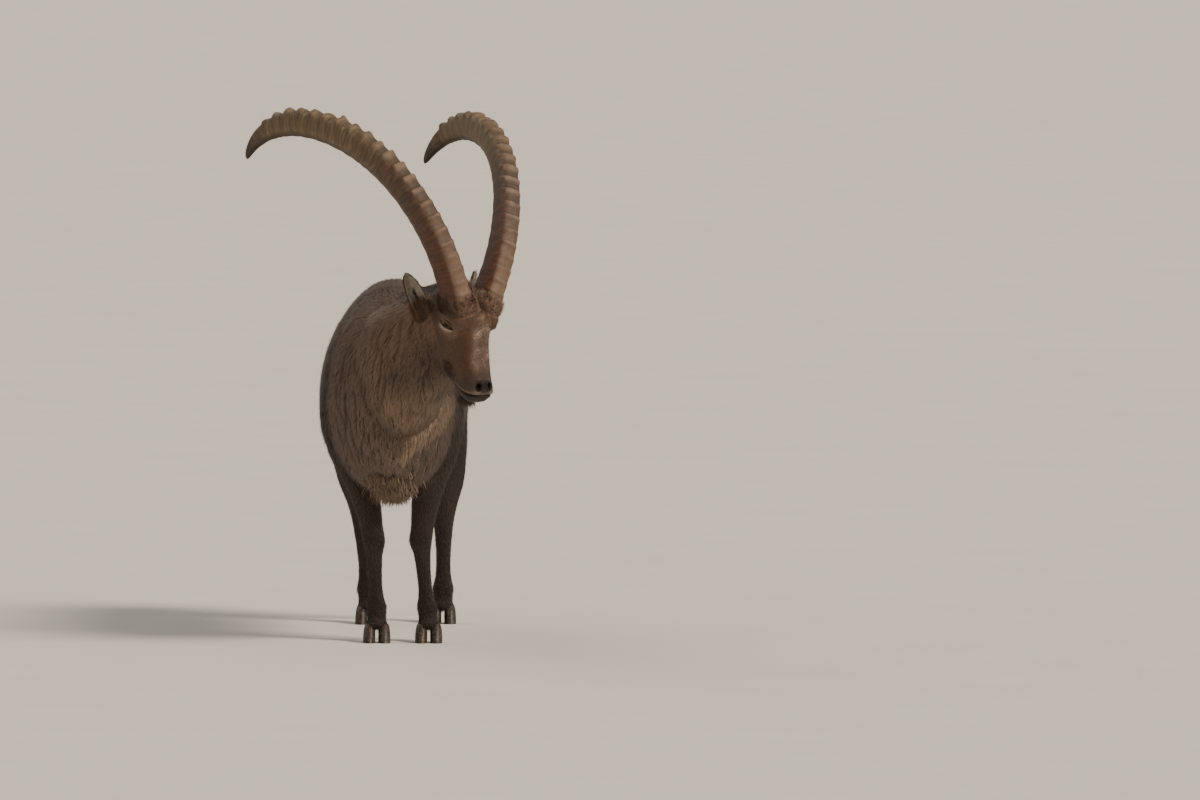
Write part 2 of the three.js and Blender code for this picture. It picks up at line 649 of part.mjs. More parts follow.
// Rows of roots along a tube, each row set half a step from the one before it.
function rootRows(from, to, count, turns) {
  return turns.flatMap((turn, row) => Array.from({ length: count }, (_, k) => (
    [lerp(from, to, (k + 0.5 * (row % 2)) / (count - 0.5)), turn])));
}

const mane = () => skinLocks(neckRows, neckFrame, rootRows(2.2, 4.0, 4, [-0.34, 0, 0.34]), {
  length: 92, width: 44, thick: 13, trail: new THREE.Vector3(-0.49, 0.84, -0.26), rise: 0.2,
});
const brisketTurns = [0.95, 1, 1.05].map((share) => share * Math.PI); // about the underside
const brisket = () => skinLocks(torsoRows, torsoFrame, rootRows(0.7, 2.1, 3, brisketTurns), {
  length: 58, width: 34, thick: 13, trail: new THREE.Vector3(0, 0.55, -0.6), rise: 0.3,
});
const tailTuft = () => skinLocks(tailRows, tailFrame, rootRows(2.2, 3.6, 2, [-1.6, 0, 1.6]), {
  length: 66, width: 26, thick: 9, trail: new THREE.Vector3(0, 0, -1), rise: 0.08, sink: 5,
});

// Assembly

const inHead = new THREE.Matrix4().compose(
  headPlace,
  new THREE.Quaternion().setFromEuler(new THREE.Euler(headPitch, 0, headYaw, "ZXY")),
  new THREE.Vector3(1, 1, 1),
);
const hands = { left: 1, right: -1 };

const body = new THREE.Group();
const head = new THREE.Group();
head.position.copy(headPlace);
head.rotation.set(headPitch, 0, headYaw, "ZXY");
body.add(head);

const clawsOf = new Map(legs.map((leg) => [leg, [-1, 1].map((side) => claw(leg, side))]));
const torsoClear = solid(torsoTube(fitGap));
const neck = joined(solid(neckTube(0)), ...mane().map((hair) => hair.subtract(torsoClear)));
const neckInHead = solid(neckTube(fitGap).applyMatrix4(inHead.clone().invert()));
const headInWorld = solid(headTube(fitGap).applyMatrix4(inHead));
body.add(node("torso", without(
  joined(solid(torsoTube(0)), ...brisket()),
  solid(neckTube(fitGap)),
  ...legs.map((leg) => solid(legTube(leg, fitGap))),
), coatColour));
body.add(node("neck", without(neck, headInWorld), coatColour));
body.add(node("tail", without(
  joined(solid(tailTube(0)), ...tailTuft()),
  torsoClear,
), darkCoat));

for (const leg of legs) {
  const limb = joined(solid(legTube(leg, 0)), ...dewclaws(leg));
  body.add(node(leg.name, without(limb, solid(neckTube(fitGap))), darkCoat));
  ["inner", "outer"].forEach((name, k) => {
    const side = k === 0 ? -leg.hand : leg.hand;
    const wedge = clawsOf.get(leg)[side < 0 ? 0 : 1];
    const hoof = without(wedge, solid(legTube(leg, fitGap)));
    body.add(node(`hoof_${leg.pair}_${leg.which}_${name}`, hoof, hoofColour));
  });
}

const skull = joined(
  solid(headTube(0)),
  eyeBall(1, eyeRadius + lidThickness),
  eyeBall(-1, eyeRadius + lidThickness),
  hairCollar(1),
  hairCollar(-1),
  ...beard(),
  ...forelock(),
);
const mouth = without(mouthLine(), solid(headTube(-mouthDepth)));
head.add(node("head", without(
  skull,
  mouth,
  ...Object.values(hands).flatMap((hand) => [
    eyeBall(hand, eyeRadius + fitGap), eyeSlit(hand), nostril(hand), hornSolid(hand, fitGap, 0.12),
  ]),
), coatColour));
for (const [which, hand] of Object.entries(hands)) {
  head.add(node(`eye_${which}`, eyeBall(hand, eyeRadius), eyeColour));
  head.add(node(`horn_${which}`, hornSolid(hand), hornColour));
  head.add(node(`ear_${which}`, without(earSolid(hand), solid(headTube(fitGap)), neckInHead), earColour));
}

// The finished animal stands with the middle of its outline over the origin.
const middle = new THREE.Box3().setFromObject(body, true).getCenter(new THREE.Vector3());
body.position.set(-middle.x, -middle.y, 0);
const ibex = new THREE.Group();
ibex.add(body);

export default ibex;
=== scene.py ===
import bmesh
import bpy
import numpy as np
from mathutils import Matrix, Vector


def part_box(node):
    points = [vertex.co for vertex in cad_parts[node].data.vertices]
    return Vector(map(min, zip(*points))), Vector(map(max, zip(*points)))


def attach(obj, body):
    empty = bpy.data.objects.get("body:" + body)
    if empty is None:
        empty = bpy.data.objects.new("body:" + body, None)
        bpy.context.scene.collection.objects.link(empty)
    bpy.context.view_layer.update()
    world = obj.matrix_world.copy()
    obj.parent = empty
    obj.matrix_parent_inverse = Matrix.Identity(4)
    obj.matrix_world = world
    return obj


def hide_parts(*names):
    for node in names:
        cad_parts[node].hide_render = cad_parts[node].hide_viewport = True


# Looks of the alpine ibex: one skin under a coat of solid tufts, with horns, ears, eyes and hooves.
# The tables repeat the CAD's stations in millimetres, and mm brings them to metres.
mm = 0.001
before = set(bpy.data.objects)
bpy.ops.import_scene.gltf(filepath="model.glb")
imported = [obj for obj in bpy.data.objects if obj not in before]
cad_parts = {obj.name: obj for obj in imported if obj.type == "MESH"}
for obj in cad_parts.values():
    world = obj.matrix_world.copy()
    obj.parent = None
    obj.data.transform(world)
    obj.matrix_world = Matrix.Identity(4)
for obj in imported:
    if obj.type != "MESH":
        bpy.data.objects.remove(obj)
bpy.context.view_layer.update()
print("stage: frame loaded")


# array helpers

def unit(v):
    return v / np.maximum(np.linalg.norm(v, axis=-1, keepdims=True), 1e-12)


def smooth(v, low, high):
    share = np.clip((v - low) / (high - low), 0, 1)
    return share * share * (3 - 2 * share)


def bell(v, middle, spread):
    return np.exp(-((v - middle) / spread) ** 2)


def signedPower(v, power):
    return np.sign(v) * np.abs(v) ** power


def mix(a, b, share):
    return a + (b - a) * share


def tint(a, b, share):
    # mixes colours or directions, with one share for each point
    return a + (b - a) * np.asarray(share)[..., None]


def valueNoise(points, cell, seed):
    # smooth noise from -1 to 1: random numbers at the corners of a lattice, eased between them
    lattice = np.random.default_rng(seed).uniform(-1, 1, (32, 32, 32))
    place = np.asarray(points) / np.asarray(cell)
    base = np.floor(place).astype(int)
    f = place - base
    f = f * f * (3 - 2 * f)
    total = 0
    for dx in (0, 1):
        for dy in (0, 1):
            for dz in (0, 1):
                corner = lattice[(base[..., 0] + dx) % 32, (base[..., 1] + dy) % 32, (base[..., 2] + dz) % 32]
                weight = (f[..., 0] if dx else 1 - f[..., 0]) * (f[..., 1] if dy else 1 - f[..., 1])
                total = total + corner * weight * (f[..., 2] if dz else 1 - f[..., 2])
    return total


def linear(code):
    # sRGB hex to linear light
    value = np.array([int(code[k:k + 2], 16) for k in (1, 3, 5)]) / 255
    return np.where(value <= 0.04045, value / 12.92, ((value + 0.055) / 1.055) ** 2.4)


def opaque(code):
    return tuple(linear(code)) + (1,)


def makeObject(name, points, quads, triangles=(), smoothShade=True):
    mesh = bpy.data.meshes.new(name)
    points = np.asarray(points, float).reshape(-1, 3)
    quads = np.asarray(quads, int).reshape(-1, 4)
    triangles = np.asarray(triangles, int).reshape(-1, 3)
    loops = np.concatenate([quads.ravel(), triangles.ravel()])
    counts = np.concatenate([np.full(len(quads), 4), np.full(len(triangles), 3)])
    starts = np.concatenate([[0], np.cumsum(counts)[:-1]]).astype(int)
    mesh.vertices.add(len(points))
    mesh.vertices.foreach_set("co", points.ravel())
    mesh.loops.add(len(loops))
    mesh.loops.foreach_set("vertex_index", loops.astype(np.int32))
    mesh.polygons.add(len(counts))
    mesh.polygons.foreach_set("loop_start", starts.astype(np.int32))
    mesh.polygons.foreach_set("use_smooth", np.full(len(counts), smoothShade))
    mesh.update(calc_edges=True)
    mesh.validate()
    piece = bpy.data.objects.new(name, mesh)
    bpy.context.scene.collection.objects.link(piece)
    return piece


def readAll(items, field, kind=np.float32):
    # one field of every item of a mesh's collection
    flat = np.empty(len(items) * (3 if field in ("co", "vector") else 1), kind)
    items.foreach_get(field, flat)
    return flat


def gridFaces(rings, around):
    # quads between neighbouring rings that close on themselves
    i, k = np.meshgrid(np.arange(rings - 1), np.arange(around), indexing="ij")
    a, b = i * around + k, i * around + (k + 1) % around
    return np.stack([a, b, b + around, a + around], -1).reshape(-1, 4)


def closedGrid(grid, startPole, endPole):
    # points and faces of a ring grid with a pole at each end
    rings, around = grid.shape[:2]
    points = np.concatenate([grid.reshape(-1, 3), [startPole, endPole]])
    k = np.arange(around)
    start = np.stack([np.full(around, rings * around), (k + 1) % around, k], -1)
    last = (rings - 1) * around
    end = np.stack([np.full(around, rings * around + 1), last + k, last + (k + 1) % around], -1)
    return points, gridFaces(rings, around), np.concatenate([start, end])


def faceOutwards(piece):
    shell = bmesh.new()
    shell.from_mesh(piece.data)
    bmesh.ops.recalc_face_normals(shell, faces=shell.faces)
    shell.to_mesh(piece.data)
    shell.free()


def paint(piece, colours, name="coatColour"):
    # one colour for each vertex, kept as an attribute that the materials read
    layer = piece.data.color_attributes.new(name, "FLOAT_COLOR", "POINT")
    rgba = np.ones((len(colours), 4), np.float32)
    rgba[:, :3] = colours
    layer.data.foreach_set("color", rgba.ravel())


def chart(piece, name, uv):
    # a UV map with one place for each vertex
    layer = piece.data.uv_layers.new(name=name)
    index = readAll(piece.data.loops, "vertex_index", np.int32)
    layer.data.foreach_set("uv", uv[index].astype(np.float32).ravel())


# the body's stations, as in the CAD

trunk = {"length": 1040, "half": 190, "withers": 910, "neck": 430, "face": 240, "headHalf": 62}
torsoTable = np.array([
    [-0.215, 0.690, 0.160, 0.185, 0.56, 2.1], [-0.140, 0.680, 0.255, 0.245, 0.80, 2.1],
    [-0.045, 0.668, 0.312, 0.263, 0.92, 2.0], [0.050, 0.660, 0.338, 0.253, 0.98, 2.0],
    [0.190, 0.662, 0.306, 0.245, 1.00, 2.0], [0.340, 0.672, 0.284, 0.242, 1.00, 2.1],
    [0.480, 0.700, 0.276, 0.218, 0.92, 2.1], [0.600, 0.724, 0.262, 0.200, 0.80, 2.1],
    [0.700, 0.736, 0.220, 0.170, 0.66, 2.1], [0.770, 0.740, 0.150, 0.125, 0.46, 2.1]])
neckTable = np.array([
    [0.00, -0.02, 0.725, 0.290, 0.385, 0.400, 2.0], [0.01, 0.22, 0.750, 0.300, 0.400, 0.430, 2.0],
    [0.08, 0.46, 0.800, 0.285, 0.370, 0.470, 2.0], [0.19, 0.67, 0.860, 0.228, 0.305, 0.410, 2.0],
    [0.30, 0.84, 0.902, 0.158, 0.255, 0.275, 2.0], [0.42, 0.99, 0.912, 0.095, 0.190, 0.130, 2.0]])
headTable = np.array([
    [0.985, 0.060, 0.255, 0.145, 0.44, 2.4], [0.925, 0.015, 0.325, 0.155, 0.60, 2.4],
    [0.850, 0.000, 0.395, 0.165, 0.66, 2.4], [0.740, -0.004, 0.490, 0.180, 0.67, 2.4],
    [0.610, 0.004, 0.610, 0.215, 0.74, 2.3], [0.470, 0.000, 0.665, 0.240, 0.82, 2.2],
    [0.330, -0.018, 0.675, 0.255, 0.92, 2.1], [0.190, -0.030, 0.665, 0.260, 1.02, 2.1],
    [0.050, -0.012, 0.650, 0.265, 1.03, 2.2], [-0.080, 0.050, 0.620, 0.290, 0.96, 2.2],
    [-0.180, 0.140, 0.560, 0.310, 0.78, 2.2]])
forelegTable = np.array([
    [80, -20, 745, 42, 80, 90, 2], [114, 25, 650, 62, 98, 104, 2], [124, 30, 560, 62, 86, 96, 2],
    [116, 5, 475, 57, 66, 78, 2], [101, 5, 410, 48, 49, 60, 2], [91, 10, 345, 38, 39, 45, 2],
    [85, 14, 295, 32, 33, 35, 2], [80, 18, 258, 31, 33, 33, 2.3], [80, 12, 222, 24, 25, 26, 2],
    [80, 8, 165, 20, 20, 23, 2], [80, 6, 120, 21, 22, 26, 2], [80, 4, 92, 27, 28, 32, 2.1],
    [80, 16, 62, 25, 24, 27, 2.1], [80, 30, 42, 30, 28, 30, 2.2]])
hindlegTable = np.array([
    [70, -50, 770, 44, 105, 110, 2], [104, -60, 690, 70, 135, 140, 2], [120, -55, 610, 68, 130, 125, 2],
    [123, -40, 525, 62, 112, 92, 2], [122, -5, 450, 56, 76, 74, 2], [118, -30, 375, 48, 52, 56, 2],
    [108, -55, 315, 38, 39, 46, 2], [104, -62, 270, 30, 34, 44, 2.2], [104, -52, 228, 25, 27, 30, 2],
    [104, -40, 170, 21, 22, 25, 2], [104, -30, 122, 22, 23, 27, 2], [104, -26, 92, 28, 29, 33, 2.1],
    [104, -12, 62, 26, 25, 28, 2.1], [104, 2, 42, 31, 29, 31, 2.2]])
stance = {"foreLeft": (72, 97, -10), "foreRight": (-47, -37, -6),
          "hindLeft": (122, 120, 668), "hindRight": (-88, -68, 652)}
rootBack = {"fore": 0, "hind": 590}
kneeHeight = 262
left, up, ahead = np.eye(3)[0], np.eye(3)[2], -np.eye(3)[1]


def tableRows(table, kind):
    # rows of x, y, z, half width, reach above, reach below and the power of the oval
    zero = np.zeros(len(table))
    if kind == "torso":
        along, middle, top, low, half, square = table.T
        high = trunk["withers"]
        return np.stack([zero, along * trunk["length"], middle * high, half * trunk["half"],
                         top * high, low * high, square], -1)
    if kind == "neck":
        aside, forth, height, half, top, low, square = table.T
        size = trunk["neck"]
        return np.stack([aside * size, -forth * size, height * trunk["withers"], half * size,
                         top * size, low * size, square], -1)
    drop, front, back, widest, half, square = table.T
    size = trunk["face"]
    return np.stack([zero, widest * size, -drop * size, half * trunk["headHalf"],
                     (widest - front) * size, (back - widest) * size, square], -1)


def handOf(name):
    # 1 on the animal's left side and -1 on its right
    return 1 if name.endswith("Left") else -1


def legRows(table, hand, place, back):
    # each leg leans so that its knee and foot come to their places
    knee, foot, footBack = place
    out, forth, height, half, before, behind, square = table.T
    top, footOut = height[0], out[-1]
    upper = smooth(top - height, 0.2 * top, top - kneeHeight)
    lower = np.clip((kneeHeight - height) / kneeHeight, 0, 1)
    x = hand * out + upper * (knee - hand * footOut) + lower * (foot - knee)
    settle = smooth(top - height, 0.25 * top, 0.9 * top)
    y = back + (footBack - back) * settle - forth
    return np.stack([x, y, height, half, before, behind, square], -1)


def rowsAt(rows, place):
    # Catmull-Rom through the rows at fractional places
    last = len(rows) - 1
    place = np.asarray(place, float)
    first = np.clip(np.floor(place).astype(int), 0, last - 1)
    share = (place - first)[:, None]
    a, b, c, d = (rows[np.clip(first + k, 0, last)] for k in (-1, 0, 1, 2))
    slopeIn, slopeOut, rise = (c - a) / 2, (d - b) / 2, c - b
    return b + share * (slopeIn + share * (3 * rise - 2 * slopeIn - slopeOut
                                           + share * (slopeIn + slopeOut - 2 * rise)))


def sections(rows, place, over=None):
    # centre, direction, the two axes and the row itself at each place
    last = len(rows) - 1
    row = rowsAt(rows, place)
    before = rowsAt(rows, np.clip(place - 0.05, 0, last))[:, :3]
    after = rowsAt(rows, np.clip(place + 0.05, 0, last))[:, :3]
    along = unit(after - before)
    if over is None:
        above = unit(np.cross(along, left))
        across = unit(np.cross(above, along))
    else:
        above, across = np.broadcast_to(over, along.shape), np.broadcast_to(left, along.shape)
    return row[:, :3], along, above, across, row


def tubeGrid(rows, steps, around, over=None, cap=(20, 20), depth=0, form=None):
    # an oval swept along the stations, depth inside the coat's surface, rounded off at both ends
    last = len(rows) - 1
    turns = np.radians([80, 62, 44, 22])
    place = np.concatenate([np.zeros(4), np.linspace(0, last, last * steps + 1), np.full(4, last)])
    shrink = np.concatenate([np.cos(turns), np.ones(last * steps + 1), np.cos(turns[::-1])])
    push = np.concatenate([-cap[0] * np.sin(turns), np.zeros(last * steps + 1), cap[1] * np.sin(turns[::-1])])
    centre, along, above, across, row = sections(rows, place, over)
    centre = centre + along * push[:, None]
    turn = np.linspace(0, 2 * np.pi, around, endpoint=False)
    s, c = np.sin(turn)[None, :], np.cos(turn)[None, :]
    power = 2 / row[:, 6:7]
    inset = np.interp(place, np.arange(last + 1), np.broadcast_to(depth, last + 1))[:, None]
    side = signedPower(s, power) * np.maximum(row[:, 3:4] * shrink[:, None] - inset, 1)
    reach = np.where(c > 0, row[:, 4:5], row[:, 5:6]) * shrink[:, None]
    rise = signedPower(c, power) * np.maximum(reach - inset, 1)
    grid = centre[:, None] + across[:, None] * side[..., None] + above[:, None] * rise[..., None]
    if form:
        grid = form(grid)
    ends = [grid[0].mean(0), grid[-1].mean(0)]
    return grid, ends


torsoRows = tableRows(torsoTable, "torso")
neckRows = tableRows(neckTable, "neck")
headRows = tableRows(headTable, "head")
far, high = trunk["length"], trunk["withers"]
tailRows = np.array([
    [0, 0.755 * far, 0.830 * high, 22, 24, 24, 2], [0, 0.795 * far, 0.815 * high, 27, 22, 24, 2],
    [0, 0.822 * far, 0.775 * high, 30, 18, 20, 2], [0, 0.832 * far, 0.815 * high - 93, 24, 12, 14, 2],
    [0, 0.830 * far, 0.815 * high - 138, 10, 5, 6, 2]])
legTables = {"fore": forelegTable, "hind": hindlegTable}
legs = {name: legRows(legTables[name[:4]], handOf(name), place, rootBack[name[:4]])
        for name, place in stance.items()}

# the head's own frame: the forehead at its origin, the muzzle down and the face towards -Y
headPlace = np.array([223, -475, 876.0])
headTurn = np.array(Matrix.Rotation(np.radians(37), 3, "Z") @ Matrix.Rotation(np.radians(-8), 3, "X"))
eye = {"left": 53, "behind": 58, "drop": 47, "radius": 15, "tilt": 97}


def fromHead(points):
    return points @ headTurn.T + headPlace


def toHead(points):
    return (points - headPlace) @ headTurn


def onHead(v):
    # a direction of the head's frame, turned as the head is
    return np.asarray(v, float) @ headTurn.T


def eyeCentre(hand):
    return np.array([hand * eye["left"], eye["behind"], -eye["drop"]], float)


def eyeDistance(local):
    # how far points of the head lie from the nearer eye
    return np.minimum(*(np.linalg.norm(local - eyeCentre(hand), axis=1) for hand in (1, -1)))


def eyeAxes(hand):
    # looking direction, slit direction from the nose outwards, and the height between the lids
    aim = Vector((hand * 0.87, -0.47, 0.05)).normalized()
    turn = Vector((0, 0, 1)).rotation_difference(aim).to_matrix()
    slit = np.array(turn @ Matrix.Rotation(hand * np.radians(eye["tilt"]), 3, "Z") @ Vector((1, 0, 0)))
    if slit[1] < 0:
        slit = -slit
    height = np.cross(np.array(aim), slit)
    height = height if height[2] > 0 else -height
    return np.array(aim), slit, height


# the frame's origin, found from the right eye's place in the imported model
low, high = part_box("eye_right")
shift = (np.array(low) + np.array(high)) / 2 - fromHead(eyeCentre(-1)) * mm
print("shift of the model's origin", shift)


def place(points):
    return points * mm + shift


def unplace(points):
    return (points - shift) / mm


# how far each lump stands out, its middle and spread down the face, its middle and spread backwards, and
# where it begins and is full across the head
faceLumps = {"brow": (9, 34, 18, 46, 30, 0.55, 0.95), "hollow": (-5, 92, 26, 34, 24, 0.3, 0.7),
             "bridge": (-6, 130, 52, -4, 34, 0.3, 0.75), "cheek": (8, 92, 46, 118, 40, 0.3, 0.8),
             "nostrils": (3, 205, 13, 14, 15, 0.1, 0.35)}


def faceForm(grid):
    # the head's half width with its lumps
    x, y, drop = grid[..., 0], grid[..., 1], -grid[..., 2]
    reach = np.abs(x) / trunk["headHalf"]
    out = sum(size * bell(drop, low, tall) * bell(y, back, deep) * smooth(reach, begin, full)
              for size, low, tall, back, deep, begin, full in faceLumps.values())
    grid = grid.copy()
    grid[..., 0] = x + np.sign(x) * out
    return grid


# the horns' spine: a path that bends ever further back, with the section's half sizes along it

horn = {"length": 955, "depth": 93, "width": 66, "knobs": 23, "lean": -20, "tighten": 0.88, "hook": 30,
        "tipIn": 4.5, "bend": {1: 130, -1: 129}, "splay": {1: 24.5, -1: 18.5}, "root": (38, 43), "sunk": 12,
        "smoothTip": 0.12, "around": 60, "perKnob": 14}


def hornDirection(hand, share):
    bend = horn["bend"][hand] * share ** horn["tighten"] + horn["hook"] * share ** 9
    back = np.radians(horn["lean"] + bend)
    out = np.radians(horn["splay"][hand] * (1 - share ** 2.5) - horn["tipIn"] * share ** 4)
    return np.stack([hand * np.sin(out), np.sin(back) * np.cos(out), np.cos(back) * np.cos(out)], -1)


def hornSpine(hand, share):
    path = np.linspace(0, 1, 4001)
    steps = hornDirection(hand, (path[1:] + path[:-1]) / 2) * (horn["length"] / 4000)
    line = np.concatenate([[[0, 0, 0]], np.cumsum(steps, 0)]) + [hand * horn["root"][0], horn["root"][1], 0]
    centre = np.stack([np.interp(share, path, line[:, k]) for k in range(3)], -1)
    along = hornDirection(hand, share)
    front = unit(np.cross(left, along))
    wide = unit(np.cross(along, front))
    taper = (1 - 0.3 * share) * np.sqrt(1 - np.minimum(share, 0.9999) ** 6)
    deep = horn["depth"] / 2 * taper * (1 + 0.14 * bell(share, 0, 0.05))
    return centre, along, front, wide, horn["width"] / 2 * taper, deep, line[-1]


def hornOval(turn, broad, deep):
    # across and to the front for each way round: boxy before, narrower behind
    s, c = np.sin(turn)[None], np.cos(turn)[None]
    narrow = np.where(c < 0, 1 - 0.38 * c * c, 1)
    power = np.where(c > 0, 0.6, 0.95)
    return signedPower(s, 0.75) * (broad * narrow), np.sign(c) * np.abs(c) ** power * deep


# the skin: every flesh part inset by the coat's depth, made one by a remesh

skinLook = {"voxel": 0.0063, "torsoDepth": 7, "neckDepth": 7, "headDepth": 2.5, "tailDepth": 6,
            "smoothing": 4, "bodySmoothing": 22}
legDepth = np.interp(np.arange(14), [0, 3, 6, 13], [7, 6, 3.5, 2])
flesh = {
    "torso": dict(rows=torsoRows, over=up, cap=(45, 34), depth=skinLook["torsoDepth"], steps=8, around=64),
    "neck": dict(rows=neckRows, over=None, cap=(30, 30), depth=skinLook["neckDepth"], steps=10, around=64),
    "tail": dict(rows=tailRows, over=None, cap=(8, 8), depth=skinLook["tailDepth"], steps=6, around=24),
    "head": dict(rows=headRows, over=ahead, cap=(5, 24), depth=skinLook["headDepth"], steps=8, around=72)}
for name, rows in legs.items():
    flesh[name] = dict(rows=rows, over=ahead, cap=(30, 8), depth=legDepth, steps=6, around=32)


def fleshGrid(name):
    part = flesh[name]
    grid, ends = tubeGrid(part["rows"], part["steps"], part["around"], part["over"], part["cap"],
                          part["depth"], faceForm if name == "head" else None)
    if name == "head":
        grid, ends = fromHead(grid), [fromHead(end) for end in ends]
    return grid, ends


def joinShells(name, shells):
    # several closed ring grids in one mesh
    points, quads, triangles, count = [], [], [], 0
    for grid, ends in shells:
        p, q, t = closedGrid(grid, ends[0], ends[1])
        points.append(p)
        quads.append(q + count)
        triangles.append(t + count)
        count += len(p)
    return makeObject(name, place(np.concatenate(points)), np.concatenate(quads), np.concatenate(triangles))


def applied(piece):
    # the piece's mesh with its modifiers worked in
    graph = bpy.context.evaluated_depsgraph_get()
    mesh = bpy.data.meshes.new_from_object(piece.evaluated_get(graph))
    old = piece.data
    piece.modifiers.clear()
    piece.data = mesh
    bpy.data.meshes.remove(old)
    mesh.name = piece.name
    return piece


def coordinates(piece):
    # a piece's points in the CAD's millimetres
    return unplace(readAll(piece.data.vertices, "co").reshape(-1, 3).astype(float))


def normalsOf(piece):
    return readAll(piece.data.vertex_normals, "vector").reshape(-1, 3).astype(float)


def movePoints(piece, points):
    piece.data.vertices.foreach_set("co", place(points).astype(np.float32).ravel())
    piece.data.update()


def dewclawGrids():
    # two short buds behind each fetlock
    shells = []
    for rows in legs.values():
        x, y = rowsAt(rows, [11.2])[0, :2]
        v, turn = np.linspace(-0.92, 0.92, 9) * np.pi / 2, np.linspace(0, 2 * np.pi, 14, endpoint=False)
        for side in (-1, 1):
            bud = np.stack([8 * np.cos(v)[:, None] * np.cos(turn), 10 * np.cos(v)[:, None] * np.sin(turn),
                            np.broadcast_to(15 * np.sin(v)[:, None], (9, 14))], -1)
            bud = bud @ np.array(Matrix.Rotation(0.5, 3, "X")).T + [x + side * 15, y + 28, 72]
            shells.append((bud, [bud[0].mean(0), bud[-1].mean(0)]))
    return shells


# each ring of a collar: its place on the horn, its swell beyond it and how far it is let down into the skull
collar = {"places": [0, 0, 0, 0.01, 0.02, 0.028], "swell": [-5, 0, 5, 5.5, 5, 3],
          "down": [40, 18, 0, 0, 0, 0], "foot": (-2, 4), "around": 48}


def collarGrids():
    # the head's skin climbs a little way up each horn
    shells = []
    for hand in (1, -1):
        centre, _, front, wide, broad, deep, _ = hornSpine(hand, np.array(collar["places"]))
        centre = centre - np.array(collar["down"])[:, None] * up
        centre[0, :2] += [hand * collar["foot"][0], collar["foot"][1]]
        turn = np.linspace(0, 2 * np.pi, collar["around"], endpoint=False)
        side, rise = hornOval(turn, *((half + collar["swell"])[:, None] for half in (broad, deep)))
        grid = fromHead(centre[:, None] + wide[:, None] * side[..., None] + front[:, None] * rise[..., None])
        shells.append((grid, [grid[0].mean(0), grid[-1].mean(0)]))
    return shells


def nearHorn(local):
    # for points of the head: distance from the nearer horn's root in its own half sizes, and its direction
    far, way = np.full(len(local), 1e9), np.zeros((len(local), 3))
    for hand in (1, -1):
        centre, along, front, wide, broad, deep, _ = hornSpine(hand, np.array([0.01]))
        rel = local - centre
        reach = np.sqrt((rel @ wide[0] / broad) ** 2 + (rel @ front[0] / deep) ** 2)
        reach = reach + smooth(-rel @ along[0], 14, 26)
        way = np.where((reach < far)[:, None], along, way)
        far = np.minimum(far, reach)
    return far, way


skin = joinShells("skin", [fleshGrid(name) for name in flesh] + dewclawGrids() + collarGrids())
faceOutwards(skin)
remesh = skin.modifiers.new("remesh", "REMESH")
remesh.mode, remesh.voxel_size, remesh.use_smooth_shade = "VOXEL", skinLook["voxel"], True
relax = skin.modifiers.new("relax", "SMOOTH")
relax.factor, relax.iterations = 0.5, skinLook["smoothing"]
applied(skin)


def relaxBody(piece):
    # rounds the creases where the trunk, neck and upper legs meet and under the horns' collars, and leaves
    # the rest of the head and the lower legs alone
    points = coordinates(piece)
    local = toHead(points)
    onBody = smooth(points[:, 2], 330, 430) * smooth(np.linalg.norm(local - [0, 60, -90], axis=1), 120, 190)
    onBrow = bell(local[:, 2], 2, 26) * smooth(nearHorn(local)[0], 2.2, 1.5)
    onBody = np.maximum(onBody, 0.7 * (onBrow * smooth(eyeDistance(local), 22, 34)))
    group = piece.vertex_groups.new(name="body")
    steps = np.round(onBody * 10).astype(int)
    for step in range(1, 11):
        group.add(np.nonzero(steps == step)[0].tolist(), step / 10, "REPLACE")
    modifier = piece.modifiers.new("relaxBody", "SMOOTH")
    modifier.factor, modifier.iterations, modifier.vertex_group = 0.5, skinLook["bodySmoothing"], "body"
    applied(piece)


relaxBody(skin)
print("stage: skin remeshed, faces", len(skin.data.polygons))


def refine(piece, chosen):
    # halves every edge with both its ends chosen
    shell = bmesh.new()
    shell.from_mesh(piece.data)
    shell.verts.ensure_lookup_table()
    edges = [edge for edge in shell.edges if chosen[edge.verts[0].index] and chosen[edge.verts[1].index]]
    bmesh.ops.subdivide_edges(shell, edges=edges, cuts=1, use_grid_fill=True, smooth=0.6)
    shell.to_mesh(piece.data)
    shell.free()


local = toHead(coordinates(skin))
refine(skin, (local[:, 1] < 150) & (local[:, 2] < 50) & (np.abs(local[:, 0]) < 85) & (local[:, 2] > -260))
local = toHead(coordinates(skin))
nearMouth = (local[:, 2] < -165) & (local[:, 2] > -260) & (local[:, 1] < 110)
refine(skin, (eyeDistance(local) < 36) | nearMouth)
print("stage: head refined, faces", len(skin.data.polygons))

mouth = {"corner": (88, -168), "middle": (60, -216), "front": (-6, -229), "depth": 4.5, "width": 2.0}
nostril = {"side": 17, "behind": 3, "drop": 206, "half": (6.8, 11), "depth": 11}


def fromNostril(local, hand):
    return local - [hand * nostril["side"], nostril["behind"], -nostril["drop"]]


def mouthHeight(y):
    # height of the mouth's line at each distance back from the face
    t = np.linspace(0, 1, 40)[:, None]
    curve = ((1 - t) ** 2 * mouth["corner"] + 2 * t * (1 - t) * np.array(mouth["middle"])
             + t ** 2 * mouth["front"])[::-1]
    return np.interp(y, curve[:, 0], curve[:, 1])


